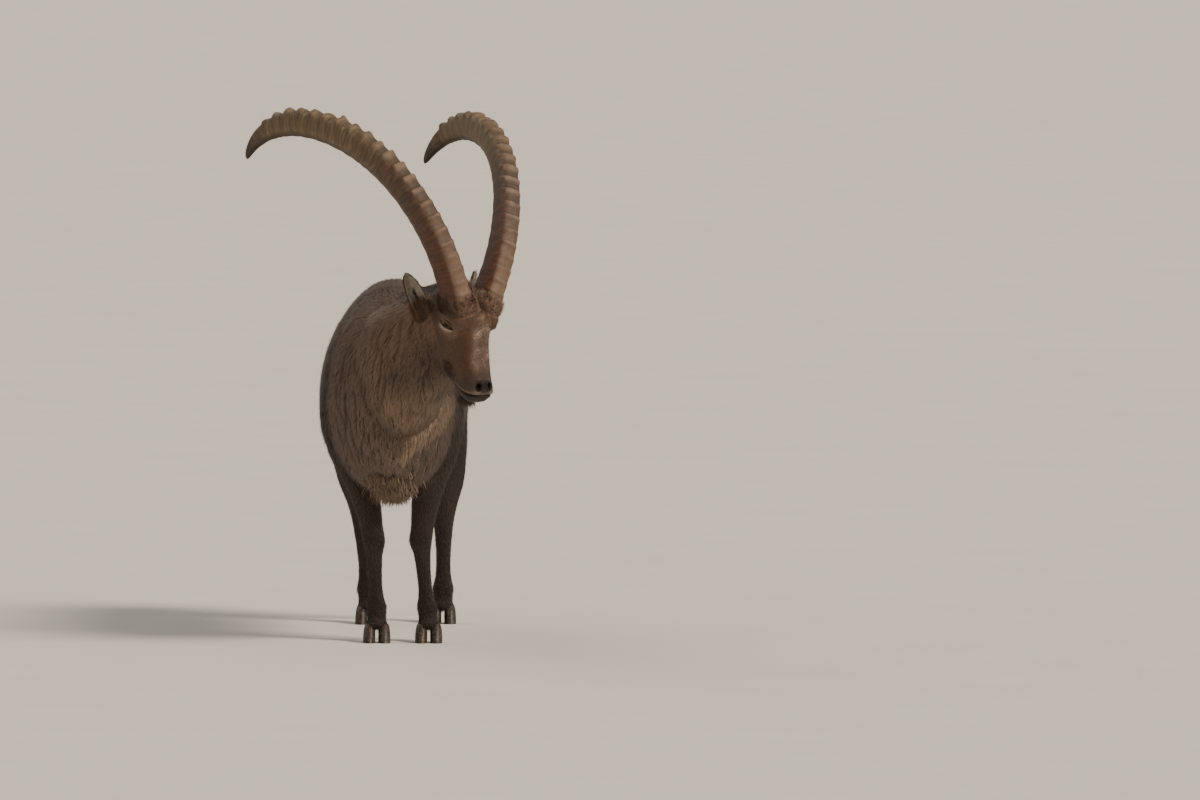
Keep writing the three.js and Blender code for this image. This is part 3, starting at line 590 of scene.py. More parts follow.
def headDetail(points, normals):
    # moves the head's skin: sockets, nostrils, mouth and lips, in the head's own frame
    move = np.zeros(len(points))
    y, z = points.T[1:]
    line = mouthHeight(y)
    inMouth = smooth(y, 80, 66) * (z < -150)
    above = z - line
    steep = 1 / np.sqrt(1 + 0.5 * smooth(y, 0, 70))
    move -= mouth["depth"] * bell(above * steep, 0, mouth["width"]) * inMouth
    move += 1.8 * bell(above, 7, 5) * inMouth + 1.2 * bell(above, -6, 4.5) * inMouth
    for hand in (1, -1):
        hole = fromNostril(points, hand)
        tilt = np.radians(24) * hand
        u = hole[:, 0] * np.cos(tilt) + hole[:, 2] * np.sin(tilt)
        v = -hole[:, 0] * np.sin(tilt) + hole[:, 2] * np.cos(tilt)
        far = np.sqrt((u / nostril["half"][0]) ** 2 + (v / nostril["half"][1]) ** 2)
        close = smooth(np.abs(hole[:, 1]), 24, 16)
        move += (2.0 * bell(far, 1.5, 0.45) - nostril["depth"] * smooth(far, 1.25, 0.55)) * close
    out = points + normals * move[:, None]
    for hand in (1, -1):
        aim, slit, height = eyeAxes(hand)
        rel = out - eyeCentre(hand)
        deep = rel @ aim
        far = np.linalg.norm(rel - deep[:, None] * aim, axis=1)
        sink = smooth(far, 21, 14) * (deep > 0)
        floor = np.minimum(deep, 6)
        out = out + aim * ((floor - deep) * sink)[:, None]
        brow = 2.5 * bell(rel @ height, 20, 7) * bell(rel @ slit, 0, 20) * (deep > 0)
        bag = 1.5 * bell(rel @ height, -19, 6) * bell(rel @ slit, 0, 18) * (deep > 0)
        out = out + aim * (brow + bag)[:, None]
    return out


local = toHead(coordinates(skin))
headNormals = normalsOf(skin) @ headTurn
inHead = (local[:, 2] < 60) & (local[:, 2] > -262) & (np.abs(local[:, 0]) < 90) & (local[:, 1] < 110)
moved = headDetail(local, headNormals)
local[inHead] = moved[inHead]
movePoints(skin, fromHead(local))
skin.data.polygons.foreach_set("use_smooth", np.ones(len(skin.data.polygons), bool))
print("stage: skin shaped")


# where a point lies on the body: its part, how far along, which way round

def partFields(points):
    # for every part: how far from its axis (1 at its surface), place along and turn around
    fields = {}
    for name, part in flesh.items():
        p = toHead(points) if name == "head" else points
        last = len(part["rows"]) - 1
        stations = np.linspace(0, last, last * 3 + 1)
        centre, along, above, across, row = sections(part["rows"], stations, part["over"])
        reach = np.full(len(p), 1e9)
        where, turn = np.zeros(len(p)), np.zeros(len(p))
        spacing = np.linalg.norm(np.gradient(centre, axis=0), axis=1) * 0.8
        for k in range(len(stations)):
            rel = p - centre[k]
            a, b = rel @ across[k], rel @ above[k]
            depth = np.interp(stations[k], np.arange(last + 1), np.broadcast_to(part["depth"], last + 1))
            up1 = np.where(b > 0, row[k, 4], row[k, 5]) - depth
            flat = np.sqrt((a / max(row[k, 3] - depth, 1)) ** 2 + (b / np.maximum(up1, 1)) ** 2)
            beyond = np.maximum(np.abs(rel @ along[k]) - spacing[k], 0)
            q = np.sqrt(flat ** 2 + (beyond / (0.6 * row[k, 3])) ** 2)
            better = q < reach
            reach = np.where(better, q, reach)
            where = np.where(better, stations[k] + (rel @ along[k]) / (3 * spacing[k] / 0.8), where)
            turn = np.where(better, np.arctan2(a, b), turn)
        fields[name] = (reach, where / last, turn)
    return fields


colours = {name: linear(code) for name, code in {
    # the flanks' colour is their brown, darkened in part as painted shade
    "back": "#644c3c", "flankShaded": "#44332b", "withers": "#654d38", "belly": "#a08d78", "chest": "#967e6f",
    "neck": "#9b7d69", "throat": "#7c6756", "nape": "#2c221c", "face": "#735441", "bridge": "#ad9686",
    "forehead": "#90745d", "muzzle": "#5f5048", "lip": "#b3a190", "chin": "#2f2520", "nose": "#211b19",
    "eyeRing": "#97836f", "lid": "#7f6c5a", "lidRim": "#b3a398", "leg": "#5b4138", "legFront": "#372b26",
    "legLow": "#2b221d", "legInner": "#8c725a", "tail": "#2a201b", "rump": "#a8987f", "brisket": "#b99c7d",
    # the ear's darkest colour is painted shade down its hollow
    "earOuter": "#6b5a4b", "earInner": "#cdc1b0", "earRim": "#4a3b31", "earHollowShade": "#1f1814",
    # the fold's colour is a painted highlight along the fold of skin
    "collar": "#634a3a", "fold": "#c8ab92", "jawShade": "#483429"}.items()}


def foldOf(points):
    # the fold of skin that runs from below the jaw down and inwards over the chest
    x, y, z = points.T
    down = np.array([-0.63, -0.78])
    along = (x - 142) * down[0] + (z - 610) * down[1]
    aside = (x - 142) * down[1] - (z - 610) * down[0] + 7 * np.sin(along / 30)
    return bell(aside, 0, 13) * smooth(along, -40, 10) * smooth(along, 215, 150) * smooth(y, 60, -20)


def bodyColour(points, fields, share):
    # torso, neck and tail: lighter below, tan at the withers and brisket, nearly black along the nape
    x, y, z = points.T
    # the flanks darker than the back, in part as painted shade
    colour = tint(colours["flankShaded"], colours["back"], smooth(z, 620, 800))
    colour = tint(colour, colours["withers"], smooth(z, 820, 930) * smooth(y, 300, -50) * 0.7)
    under = smooth(z, 500, 430) * smooth(y, 40, 180) * (1 - smooth(y, 700, 760))
    colour = tint(colour, colours["belly"], under)
    colour = tint(colour, colours["rump"], smooth(y, 735, 800) * smooth(z, 810, 700) * bell(x, 0, 70))
    colour = tint(colour, colours["chest"], smooth(y, -20, -160) * 0.8)
    colour = tint(colour, colours["brisket"], bell(z, 375, 45) * bell(x, 4, 48) * smooth(y, 40, -60) * 0.9)
    turn, along = np.abs(fields["neck"][2]), fields["neck"][1]
    neck = tint(colours["neck"], colours["throat"], smooth(turn, 2.1, 2.8))
    # painted light: the lower front of the neck paler, towards the brisket's tan, where it faces down
    lowFrontLight = smooth(z, 720, 600) * smooth(y, 0, -160)
    neck = tint(neck, colours["brisket"], lowFrontLight * 0.7)
    streak = smooth(valueNoise(points, (8, 14, 90), 52), 0.0, 0.6) * bell(x, 105, 45) * bell(z, 600, 70)
    neck = tint(neck, colours["belly"], streak * 0.7)
    neck = tint(neck, colours["nape"], smooth(turn, 1.05, 0.35) * smooth(along, 0.42, 0.68) * 0.92)
    body = np.maximum(share["torso"] + share["neck"] + share["tail"], 1e-6)
    colour = tint(colour, neck, np.clip(share["neck"] / body, 0, 1))
    # painted highlight: a pale line along the fold of skin, where its ridge catches the light
    colour = tint(colour, colours["fold"], foldOf(points) * 0.85)
    return tint(colour, colours["tail"], np.clip(share["tail"] / body, 0, 1))


def legColour(points, fields, share):
    # dark brown, black down the front, tan along the inner edge behind, and as the body above, from the
    # flanks' colour with its painted shade
    z = points[:, 2]
    total = np.zeros((len(points), 3))
    for name in legs:
        hand, turn = handOf(name), fields[name][2]
        fore = name.startswith("fore")
        top, low = (520, 400) if fore else (360, 200)
        # from the flanks' colour, with its painted shade, down to the leg's own
        shade = tint(colours["flankShaded"], colours["leg"], smooth(z, top, low))
        shade = tint(shade, colours["legLow"], smooth(z, 330, 210))
        shade = tint(shade, colours["legFront"], smooth(np.abs(turn), 1.5, 0.7) * smooth(z, top, low) * 0.8)
        inner = bell(turn, -hand * 2.2, 0.5) * smooth(z, 60, 120) * smooth(z, 480, 380)
        shade = tint(shade, colours["legInner"], inner * 0.7)
        total += shade * share[name][:, None]
    return total


def faceColour(local):
    # tan nose bridge and forehead, mauve muzzle, pale lip edge, dark chin and nostrils, pale ring of the eye
    side, back, drop = np.abs(local[:, 0]), local[:, 1], -local[:, 2]
    patch = smooth(valueNoise(local, (16, 16, 16), 51), -0.5, 0.5)
    tan = smooth(side, 36, 18) * smooth(back, 42, 12) * smooth(drop, 195, 140)
    face = tint(colours["face"], colours["bridge"], tan * (0.55 + 0.45 * patch))
    face = tint(face, colours["forehead"], smooth(drop, 70, 20) * smooth(back, 70, 20) * (0.6 + 0.4 * patch))
    tuft = valueNoise(local, (9, 9, 22), 53)[:, None] * 0.35 + 1
    face = tint(face, colours["collar"] * tuft, smooth(nearHorn(local)[0], 1.75, 1.4) * 0.85)
    face = tint(face, colours["muzzle"], smooth(drop, 150, 190))
    face = tint(face, colours["nape"], smooth(back, 96, 128) * smooth(drop, 90, 0))
    face = tint(face, colours["jawShade"], smooth(back, 118, 148) * smooth(drop, 40, 90))
    above = local[:, 2] - mouthHeight(back)
    near = smooth(back, 80, 64) * smooth(drop, 150, 165)
    pad = smooth(side, 27, 17) * smooth(back, 26, 12) * smooth(drop, 184, 196) * smooth(above, 3, 9)
    face = tint(face, colours["nose"], pad * 0.8)
    face = tint(face, colours["lip"], bell(above, 4.5, 3.6) * near * 0.8)
    face = tint(face, colours["chin"], smooth(above, 1.0, -3) * near * 0.9 * smooth(back, 62, 30))
    face = tint(face, colours["nose"], bell(above, 0, 1.8) * near)
    for hand in (1, -1):
        aim, slit, height = eyeAxes(hand)
        rel = local - eyeCentre(hand)
        far = np.sqrt((rel @ slit / 27) ** 2 + (rel @ height / 20) ** 2 + (rel @ aim / 40) ** 2)
        face = tint(face, colours["eyeRing"], smooth(far, 1.5, 0.9) * 0.8)
        hole = fromNostril(local, hand)
        far = np.sqrt((hole[:, 0] / 8) ** 2 + (hole[:, 2] / 12) ** 2)
        face = tint(face, colours["nose"], smooth(far, 1.3, 0.8) * smooth(np.abs(hole[:, 1]), 24, 14))
    return face


def lieOf(points, fields, share):
    # the way the hair lies: back and down the trunk, down the neck and chest, along the legs, down the face
    x, y, z = points.T
    local = toHead(points)
    back, drop = local[:, 1], -local[:, 2]
    chest = smooth(y, 0, -180)
    lie = share["torso"][:, None] * unit(np.stack(
        [0 * x, 0.85 - 0.7 * chest, -0.5 - 0.5 * chest + 0.35 * smooth(z, 520, 440)], -1))
    top = smooth(np.abs(fields["neck"][2]), 1.3, 0.5)
    lie = lie + share["neck"][:, None] * tint(np.array([-0.05, 0.3, -0.95]),
                                             np.array([-0.42, 0.86, -0.25]), top)
    face = np.stack([0.25 * np.sign(local[:, 0]) * smooth(back, 20, 60), 0.15 + 0.8 * smooth(back, 30, 90),
                     -0.95 + 0.5 * smooth(back, 30, 90)], -1)
    face = tint(face, np.array([0, 0.6, 0.8]), smooth(drop, 30, -5))
    far, way = nearHorn(local)
    face = tint(unit(face), way, smooth(far, 1.6, 1.3))
    lie = lie + share["head"][:, None] * onHead(unit(face))
    legShare = sum(share[name] for name in legs)
    return (lie + legShare[:, None] * np.array([0, 0.2, -0.98])
            + share["tail"][:, None] * np.array([0, 0.1, -0.99]))


def lookOf(points):
    # colour, lie, length, width and cleft strength for points in the CAD's millimetres
    fields = partFields(points)
    names = list(fields)
    away = np.stack([fields[name][0] for name in names])
    weight = np.exp(-9 * (away - away.min(0)))
    share = dict(zip(names, weight / weight.sum(0)))
    legShare = sum(share[name] for name in legs)
    local = toHead(points)
    y, z, back, drop = points[:, 1], points[:, 2], local[:, 1], -local[:, 2]
    legTone = legColour(points, fields, share) / np.maximum(legShare, 1e-6)[:, None]
    colour = tint(bodyColour(points, fields, share), legTone, smooth(legShare, 0.2, 0.8))
    colour = tint(colour, faceColour(local), smooth(share["head"], 0.3, 0.7))
    spread = valueNoise(points, 70, 3) * 0.5 + valueNoise(points, 28, 4) * 0.5
    colour = colour * (1 + 0.13 * spread[:, None])
    torso, neck, head, tail = (share[name] for name in ("torso", "neck", "head", "tail"))
    nearHead = smooth(fields["head"][0], 1.7, 1.15)
    low = smooth(z, 520, 330)
    length = 27 * torso + 29 * neck + 30 * tail + legShare * (24 - 9 * low)
    length = length * (1 - 0.5 * nearHead * (1 - head)) + 9 * head
    length = length + head * (8 * smooth(back, 90, 130) + 7 * smooth(drop, 25, -10))
    length = length * (1 - 0.45 * head * smooth(drop, 150, 180))
    width = 2.2 * torso + 2.2 * neck + 2.2 * tail + legShare * (2.2 - 0.6 * low) + 1.25 * head
    cleft = neck + torso * (0.3 + 0.7 * smooth(y, 160, -20)) + legShare * smooth(z, 440, 560) * 0.8
    cleft = np.clip(cleft, 0, 1)
    cleft = cleft * (1 - smooth(head, 0.2, 0.6)) * (1 - 0.8 * nearHead)
    rough = head * smooth(np.abs(local[:, 0]), 36, 20) * smooth(back, 45, 15) * smooth(drop, 165, 120)
    rough = np.maximum(rough, head * smooth(nearHorn(local)[0], 1.7, 1.4) * 0.7)
    length = length + 7 * head * smooth(nearHorn(local)[0], 1.7, 1.35)
    return dict(colour=colour, lie=lieOf(points, fields, share), length=length, width=width, cleft=cleft,
                head=head, lowLeg=np.clip(legShare, 0, 1) * low, rough=rough, share=share, fields=fields,
                names=names)


cleftLook = {"cell": (16, 16, 52), "broad": (60, 60, 170), "edge": 0.13, "warp": 12, "relief": 1.4}


def cleftField(points):
    # wavy upright furrows, 15 to 25 mm apart, where the noise crosses nought
    warp = np.stack([valueNoise(points, 70, seed) for seed in (21, 22, 23)], -1) * cleftLook["warp"]
    return (valueNoise(points + warp, cleftLook["cell"], 24)
            + 0.45 * valueNoise(points + warp, cleftLook["broad"], 25))


skinPoints = coordinates(skin)
look = lookOf(skinPoints)
cleftValue = cleftField(skinPoints)
parting = np.exp(-(cleftValue / cleftLook["edge"]) ** 2) * look["cleft"]
skinNormals = normalsOf(skin)
relief = cleftLook["relief"] * look["cleft"] * (np.clip(np.abs(cleftValue) * 2.2, 0, 1) - 0.7)
relief = relief + 5 * foldOf(skinPoints)
skinPoints = skinPoints + skinNormals * relief[:, None]
movePoints(skin, skinPoints)
# painted shade: the skin darker down the coat's partings and in the crease round each horn's collar
creaseShade = bell(nearHorn(toHead(skinPoints))[0], 1.55, 0.2) * look["head"]
skinColour = look["colour"] * ((1 - 0.35 * parting) * (1 - 0.45 * creaseShade))[:, None]
furShade = 0.5 + 0.25 * np.maximum(smooth(look["head"], 0.3, 0.8), look["lowLeg"])
paint(skin, skinColour * furShade[:, None])
print("stage: skin painted")


# tufts: closed blades of three sides, bent along the lie of the coat

def tuftMesh(name, root, normal, lie, length, width, thick, rise, colourRoot, colourTip, uv,
             bend=0.35, sink=0.8, rings=2):
    # every tuft is a path of rings + 1 points that leans from its normal into its lie and tapers to a tip
    count = len(root)
    across = unit(np.cross(normal, lie))
    direction = unit(lie * np.cos(rise)[:, None] + normal * np.sin(rise)[:, None])
    centre = root - normal * sink
    points = []
    step = (length / rings)[:, None]
    body = np.interp(np.arange(rings) / rings, [0, 0.35, 1], [0.75, 1, 0.35]) if rings > 1 else [1]
    for k in range(rings):
        half = (width * body[k] / 2)[:, None]
        points += [centre - across * half, centre + across * half,
                   centre + unit(np.cross(across, direction)) * (thick * body[k])[:, None]]
        centre = centre + direction * step
        direction = unit(direction - normal * (bend * np.sin(rise))[:, None])
    points.append(centre)
    perTuft = 3 * rings + 1
    points = np.stack(points, 1)
    base = np.arange(count)[:, None, None] * perTuft
    sides = [[3 * k + a, 3 * k + b, 3 * k + 3 + b, 3 * k + 3 + a]
             for k in range(rings - 1) for a, b in ((0, 1), (1, 2), (2, 0))]
    last = 3 * rings - 3
    ends = [[last + a, last + b, last + 3] for a, b in ((0, 1), (1, 2), (2, 0))] + [[2, 1, 0]]
    quads = (base + np.array(sides)[None]).reshape(-1, 4) if rings > 1 else np.zeros((0, 4), int)
    triangles = (base + np.array(ends)[None]).reshape(-1, 3)
    piece = makeObject(name, place(points.reshape(-1, 3)), quads, triangles)
    level = np.repeat(np.arange(rings) / rings, 3).tolist() + [1.0]
    level = np.array(level)[None, :, None]
    tone = colourRoot[:, None] * (1 - level) + colourTip[:, None] * level
    paint(piece, tone.reshape(-1, 3))
    # each tuft is a small patch at its root's place on the unwrapped skin
    corner = np.array([(0, 0), (0.0015, 0), (0.003, 0)] * rings + [(0.0015, 0.003)])
    corner[:3 * rings, 1] = np.repeat(np.arange(rings) / rings, 3) * 0.003
    patch = np.clip(uv[:, None] * 0.996 + corner[None], 0, 1).reshape(-1, 2)
    chart(piece, "OFBake", patch)
    return piece


coatLook = {"cover": 3.0, "legCover": 2.5, "headCover": 2.6, "seed": 11, "darkRoot": 0.55, "lightTip": 1.15,
            "rise": 10, "headRise": 13, "roughRise": 28}
rng = np.random.default_rng(coatLook["seed"])


def skinFaces(piece):
    # corners of every quad or triangle of the skin, a triangle with its last corner twice
    mesh = piece.data
    starts, totals = (readAll(mesh.polygons, field, np.int32) for field in ("loop_start", "loop_total"))
    offset = np.array([0, 1, 2, 2]) + (totals > 3)[:, None] * np.array([0, 0, 0, 1])
    return readAll(mesh.loops, "vertex_index", np.int32)[starts[:, None] + offset]


corners = skinFaces(skin)
skinPoints = coordinates(skin)
skinNormals = normalsOf(skin)
quad = skinPoints[corners]
area = (np.linalg.norm(np.cross(quad[:, 1] - quad[:, 0], quad[:, 2] - quad[:, 0]), axis=1)
        + np.linalg.norm(np.cross(quad[:, 2] - quad[:, 0], quad[:, 3] - quad[:, 0]), axis=1)) / 2
faceLength = look["length"][corners].mean(1)
faceWidth = look["width"][corners].mean(1)
faceHead = look["head"][corners].mean(1)
faceLow = look["lowLeg"][corners].mean(1)
cover = mix(coatLook["cover"], coatLook["legCover"], faceLow)
cover = mix(cover, coatLook["headCover"], smooth(faceHead, 0.3, 0.7))
wanted = area * cover / (faceLength * faceWidth * 0.5)
local = toHead(quad.mean(1))
lips = bell(local[:, 2] - mouthHeight(local[:, 1]), 0, 3) * smooth(local[:, 1], 80, 66) * (local[:, 2] < -150)
bare = smooth(eyeDistance(local), 22, 27) * (1 - lips)
for hand in (1, -1):
    hole = fromNostril(local, hand)
    bare = bare * smooth(np.sqrt(((hole / [8, 30, 12]) ** 2).sum(1)), 0.9, 1.3)
bare = bare * smooth(nearHorn(local)[0], 0.93, 1.0)
wanted = wanted * np.where(faceHead > 0.4, bare, 1)
number = np.floor(wanted + rng.random(len(wanted))).astype(int)
owner = np.repeat(np.arange(len(wanted)), number)
print("stage: tufts planned", len(owner))
u, v = rng.random(len(owner)), rng.random(len(owner))
cornerShare = np.stack([(1 - u) * (1 - v), u * (1 - v), u * v, (1 - u) * v], -1)[..., None]


def atRoots(values):
    values = values if values.ndim > 1 else values[:, None]
    out = (values[corners[owner]] * cornerShare).sum(1)
    return out[:, 0] if out.shape[1] == 1 else out


root, normal = atRoots(skinPoints), unit(atRoots(skinNormals))
lie = atRoots(look["lie"])
length, width, cleft = atRoots(look["length"]), atRoots(look["width"]), atRoots(look["cleft"])
headShare, lowLeg = atRoots(look["head"]), atRoots(look["lowLeg"])
tone = atRoots(look["colour"])
value = cleftField(root)
reach = 4.0
slope = np.stack([cleftField(root + np.eye(3)[k] * reach) - value for k in range(3)], -1) / reach
slope = slope - normal * (slope * normal).sum(1)[:, None]
edge = np.exp(-(value / 0.25) ** 2) * cleft
rough = atRoots(look["rough"])
lie = unit(lie + rng.normal(0, 1, lie.shape) * (0.1 + 0.45 * rough)[:, None])
curl = np.stack([valueNoise(root, 11, seed) for seed in (61, 62, 63)], -1)
lie = unit(lie + curl * (1.3 * rough)[:, None])
lie = unit(lie + unit(slope) * (np.sign(value) * edge * 0.38)[:, None])
lie = unit(lie - normal * (lie * normal).sum(1)[:, None])
parting = np.exp(-(value / cleftLook["edge"]) ** 2) * cleft
count = len(root)
lockTone = valueNoise(root, (16, 16, 40), 31) * 0.6 + valueNoise(root, (7, 7, 18), 32) * 0.4
own = rng.normal(0, 1, count)
bright = 1 + 0.12 * lockTone + 0.09 * own
length = length * rng.uniform(0.75, 1.2, count) * (1 - 0.25 * parting)
width = width * rng.uniform(0.8, 1.25, count)
rise = mix(coatLook["rise"], coatLook["headRise"], headShare) + rng.normal(0, 4, count)
rise = np.radians(mix(rise, coatLook["roughRise"], rough)) * (1 - 0.3 * parting) * (1 - 0.2 * lowLeg)
rootTone = mix(coatLook["darkRoot"], 0.75, np.maximum(smooth(headShare, 0.3, 0.8), lowLeg))
rootTone = mix(rootTone, 0.45, rough)
# painted shade: roots and tips darker down the coat's partings
colourRoot = tone * (bright * rootTone * (1 - 0.3 * parting))[:, None]
colourTip = tone * (bright * (coatLook["lightTip"] + 0.2 * rough) * (1 - 0.35 * parting))[:, None]
owners = np.stack([atRoots(look["share"][name]) for name in look["names"]]).argmax(0)
alongAll = np.stack([atRoots(look["fields"][name][1]) for name in look["names"]])
rootFields = partFields(root)
turnAll = np.stack([rootFields[name][2] for name in look["names"]])
alongOwn = np.clip(alongAll[owners, np.arange(count)], 0, 1)
turnOwn = turnAll[owners, np.arange(count)] / (2 * np.pi) + 0.5
column = np.array([{"torso": 0, "neck": 1, "head": 2, "tail": 3}.get(name, 4 + k % 4)
                   for k, name in enumerate(look["names"])])[owners]
unwrapped = np.stack([(column + 0.03 + 0.94 * turnOwn) / 8, 0.02 + 0.95 * alongOwn], -1)


def coatPieceOf():
    # which coat piece a tuft goes to: its part, with trunk, neck and head in lengths and every leg alone
    names = np.array(look["names"])[owners]
    lengths = {"torso": 6, "neck": 4, "head": 3}
    piece = np.zeros(count, int)
    for name, parts in lengths.items():
        own = names == name
        order = np.argsort(np.argsort(alongOwn[own], kind="stable"), kind="stable")
        piece[own] = order * parts // max(own.sum(), 1)
    return np.char.add(names.astype(str), piece.astype(str))


labels = coatPieceOf()
tufts = (root, normal, lie, length, width, width * 0.28, rise, colourRoot, colourTip, unwrapped)
coatPieces = []
for label in np.unique(labels):
    chosen = np.nonzero(labels == label)[0]
    name = "coat" + label[0].upper() + str(label[1:])
    coatPieces.append(tuftMesh(name, *(values[chosen] for values in tufts), rings=1, sink=0.5))
    print("coat piece", label, "tufts", len(chosen))
print("stage: coat made, tufts", count)


# horns: knobs on the broad front of the spine given above

def hornGrid(hand):
    # knobs rise slowly from their foot to a crest and drop steeply behind it, and only on the front
    starts = (1 - horn["smoothTip"]) * (np.arange(horn["knobs"] + 1) / horn["knobs"]) ** 1.2
    fine = np.linspace(0, 1, horn["perKnob"], endpoint=False)
    tipRings = np.array([0, 0.1, 0.2, 0.3, 0.4, 0.5, 0.6, 0.7, 0.8, 0.88, 0.94, 0.98, 0.995])
    share = np.concatenate([starts[k] + (starts[k + 1] - starts[k]) * fine for k in range(horn["knobs"])]
                           + [1 - horn["smoothTip"] + horn["smoothTip"] * tipRings])
    knot = np.searchsorted(starts, share, side="right") - 1
    knot = np.clip(knot, 0, horn["knobs"])
    uneven = np.random.default_rng(90 + hand).uniform(0.72, 1.15, horn["knobs"] + 1)
    size = (3 + 7.5 * smooth(starts[knot], 0.15, 0.6)) * (1 - 0.45 * smooth(starts[knot], 0.72, 0.95))
    size = np.where(knot < horn["knobs"], size * uneven[knot], 0)
    phase = np.where(knot < horn["knobs"], (share - starts[knot])
                     / np.maximum(np.append(np.diff(starts), 1)[knot], 1e-6), 0)
    wave = np.interp(phase, [0, 0.1, 0.35, 0.55, 0.68, 0.78, 0.86, 0.92, 0.97, 1],
                     [0, 0.03, 0.14, 0.4, 0.8, 1, 0.95, 0.6, 0.12, 0])
    crest = size * wave
    centre, along, front, wide, broad, deep, tip = hornSpine(hand, share)
    centre = np.concatenate([centre[:1] - along[:1] * horn["sunk"], centre])
    front, wide, along, broad, deep, share = (np.concatenate([v[:1], v])
                                              for v in (front, wide, along, broad, deep, share))
    crest = np.concatenate([[0], crest])
    turn = (np.arange(horn["around"]) + 0.5) * 2 * np.pi / horn["around"]
    c = np.cos(turn)[None]
    # the knobs keep to the front face and are lumpy across it
    spread = np.stack(np.broadcast_arrays(share[:, None] * 900, turn[None] * 14, hand), -1)
    lump = 1 + 0.3 * valueNoise(spread, 11, 47)
    knob = crest[:, None] * smooth(c, 0.4, 0.78) * lump
    side, rise = hornOval(turn, broad[:, None] + knob * 0.25, deep[:, None] + knob)
    grid = centre[:, None] + wide[:, None] * side[..., None] + front[:, None] * rise[..., None]
    rough = valueNoise(grid, (13, 13, 13), 43) * 0.7 + valueNoise(grid, (6, 6, 6), 44) * 0.3
    lumps = rough * (0.5 + 0.22 * knob) * smooth(share, 0.98, 0.9)[:, None]
    wander = 3 * valueNoise(share[:, None] * [[700, 0, 0]], 40, 45)
    rings = 0.45 * np.sin(share * horn["length"] / 6.5 + wander)
    rings = rings[:, None] * smooth(c, 0.3, -0.1) * smooth(share, 0.97, 0.85)[:, None]
    outwards = unit(grid - centre[:, None])
    grid = grid - outwards * (1.2 - lumps - rings)[..., None] * smooth(share, 1, 0.95)[:, None, None]
    return grid, share, turn, knob, centre, tip


def gridMesh(name, grid, startPole, endPole, uvRows, uvTurns):
    # a closed ring grid with a UV map of place along and place around
    points, quads, triangles = closedGrid(grid, startPole, endPole)
    piece = makeObject(name, place(points), quads, triangles)
    vertexU = np.concatenate([np.repeat(uvRows, len(uvTurns)), [uvRows[0], uvRows[-1]]])
    vertexV = np.concatenate([np.tile(uvTurns, len(uvRows)), [0.5, 0.5]])
    chart(piece, "UVMap", np.stack([vertexU, vertexV], -1))
    faceOutwards(piece)
    return piece


hornColours = {name: linear(code) for name, code in {
    "side": "#5b4537", "sideBand": "#382c23", "baseSide": "#5c3828", "front": "#7c6655", "groove": "#33281f",
    "tip": "#29221d", "back": "#43362b", "arc": "#78654c"}.items()}


def hornTone(points, share, c, knob):
    # tan front worn paler on the crests and dark between them, sides in dull bands with fine dark lines, the
    # base redder, the tip dark
    noise = valueNoise(points, (14, 14, 14), 41) * 0.6 + valueNoise(points, (5, 5, 5), 42) * 0.4
    bands = 0.5 + 0.5 * np.sin(share * horn["length"] / 5.2 + 2.5 * valueNoise(points, (30, 30, 30), 46))
    lines = np.sin(share * horn["length"] / 1.9 + 4 * valueNoise(points, (26, 26, 26), 48))
    side = tint(hornColours["side"], hornColours["arc"], smooth(share, 0.3, 0.6))
    side = tint(side, hornColours["baseSide"], smooth(share, 0.34, 0.1))
    side = tint(side, hornColours["sideBand"], bands * (0.35 + 0.3 * noise))
    side = tint(side, hornColours["tip"], smooth(lines, 0.5, 0.95) * (0.4 + 0.3 * noise))
    side = tint(side, hornColours["back"], smooth(c, -0.4, -0.9))
    level = np.maximum(smooth(knob, 0.4, 4.5), smooth(share, 0.35, 0.05) * 0.7)
    crestTone = tint(hornColours["front"], side, smooth(share, 0.3, 0.58) * 0.85)
    groove = tint(hornColours["groove"], side, 0.4)
    front = tint(groove, crestTone, level * (0.75 + 0.25 * noise))
    tone = tint(side, front, smooth(c, 0.7, 0.86) * smooth(share, 0.95, 0.84))
    tone = tint(tone, hornColours["tip"], smooth(share, 0.84, 0.99) * 0.8)
    return tone * (1 + 0.22 * noise)[:, None]


hornPieces = {}
for hand, name in ((1, "hornLeft"), (-1, "hornRight")):
    grid, share, turn, knob, centre, tip = hornGrid(hand)
    piece = gridMesh(name, fromHead(grid), fromHead(centre[0]), fromHead(tip), share, turn / (2 * np.pi))
    tone = hornTone(grid.reshape(-1, 3), np.repeat(share, len(turn)), np.tile(np.cos(turn), len(share)),
                    knob.ravel())
    paint(piece, np.concatenate([tone, tone[:1], tone[-1:]]), "hornColour")
    hornPieces[hand] = piece
print("stage: horns made")


# ears: a leaf rolled into a cup that opens forwards, with hair along its rim and inside

ear = {"root": (66, 150, -4), "length": 106, "half": 21, "rows": 40, "across": 26, "footThick": 5,
       "tipThick": 2.4, "hairs": 3600, "insideHairs": 0.3, "fringeHairs": 0.28, "rootHairs": 0.3}


def closedPiece(name, grid, tone, layerName):
    # a ring grid in the head's frame, closed at both ends and painted
    ends = [fromHead(ring.mean(0)) for ring in (grid[0], grid[-1])]
    points, quads, triangles = closedGrid(fromHead(grid), *ends)
    piece = makeObject(name, place(points), quads, triangles)
    faceOutwards(piece)
    paint(piece, np.concatenate([tone, tone[:1], tone[-1:]]), layerName)
    return piece


def earFrame(hand):
    root = np.array([hand * ear["root"][0], ear["root"][1], ear["root"][2]], float)
    along = unit(np.array([hand * 0.4, -0.05, 0.91]))
    opening = np.array([hand * 0.42, -0.88, 0.2])
    opening = unit(opening - along * (opening @ along))
    return root, along, opening, np.cross(along, opening)


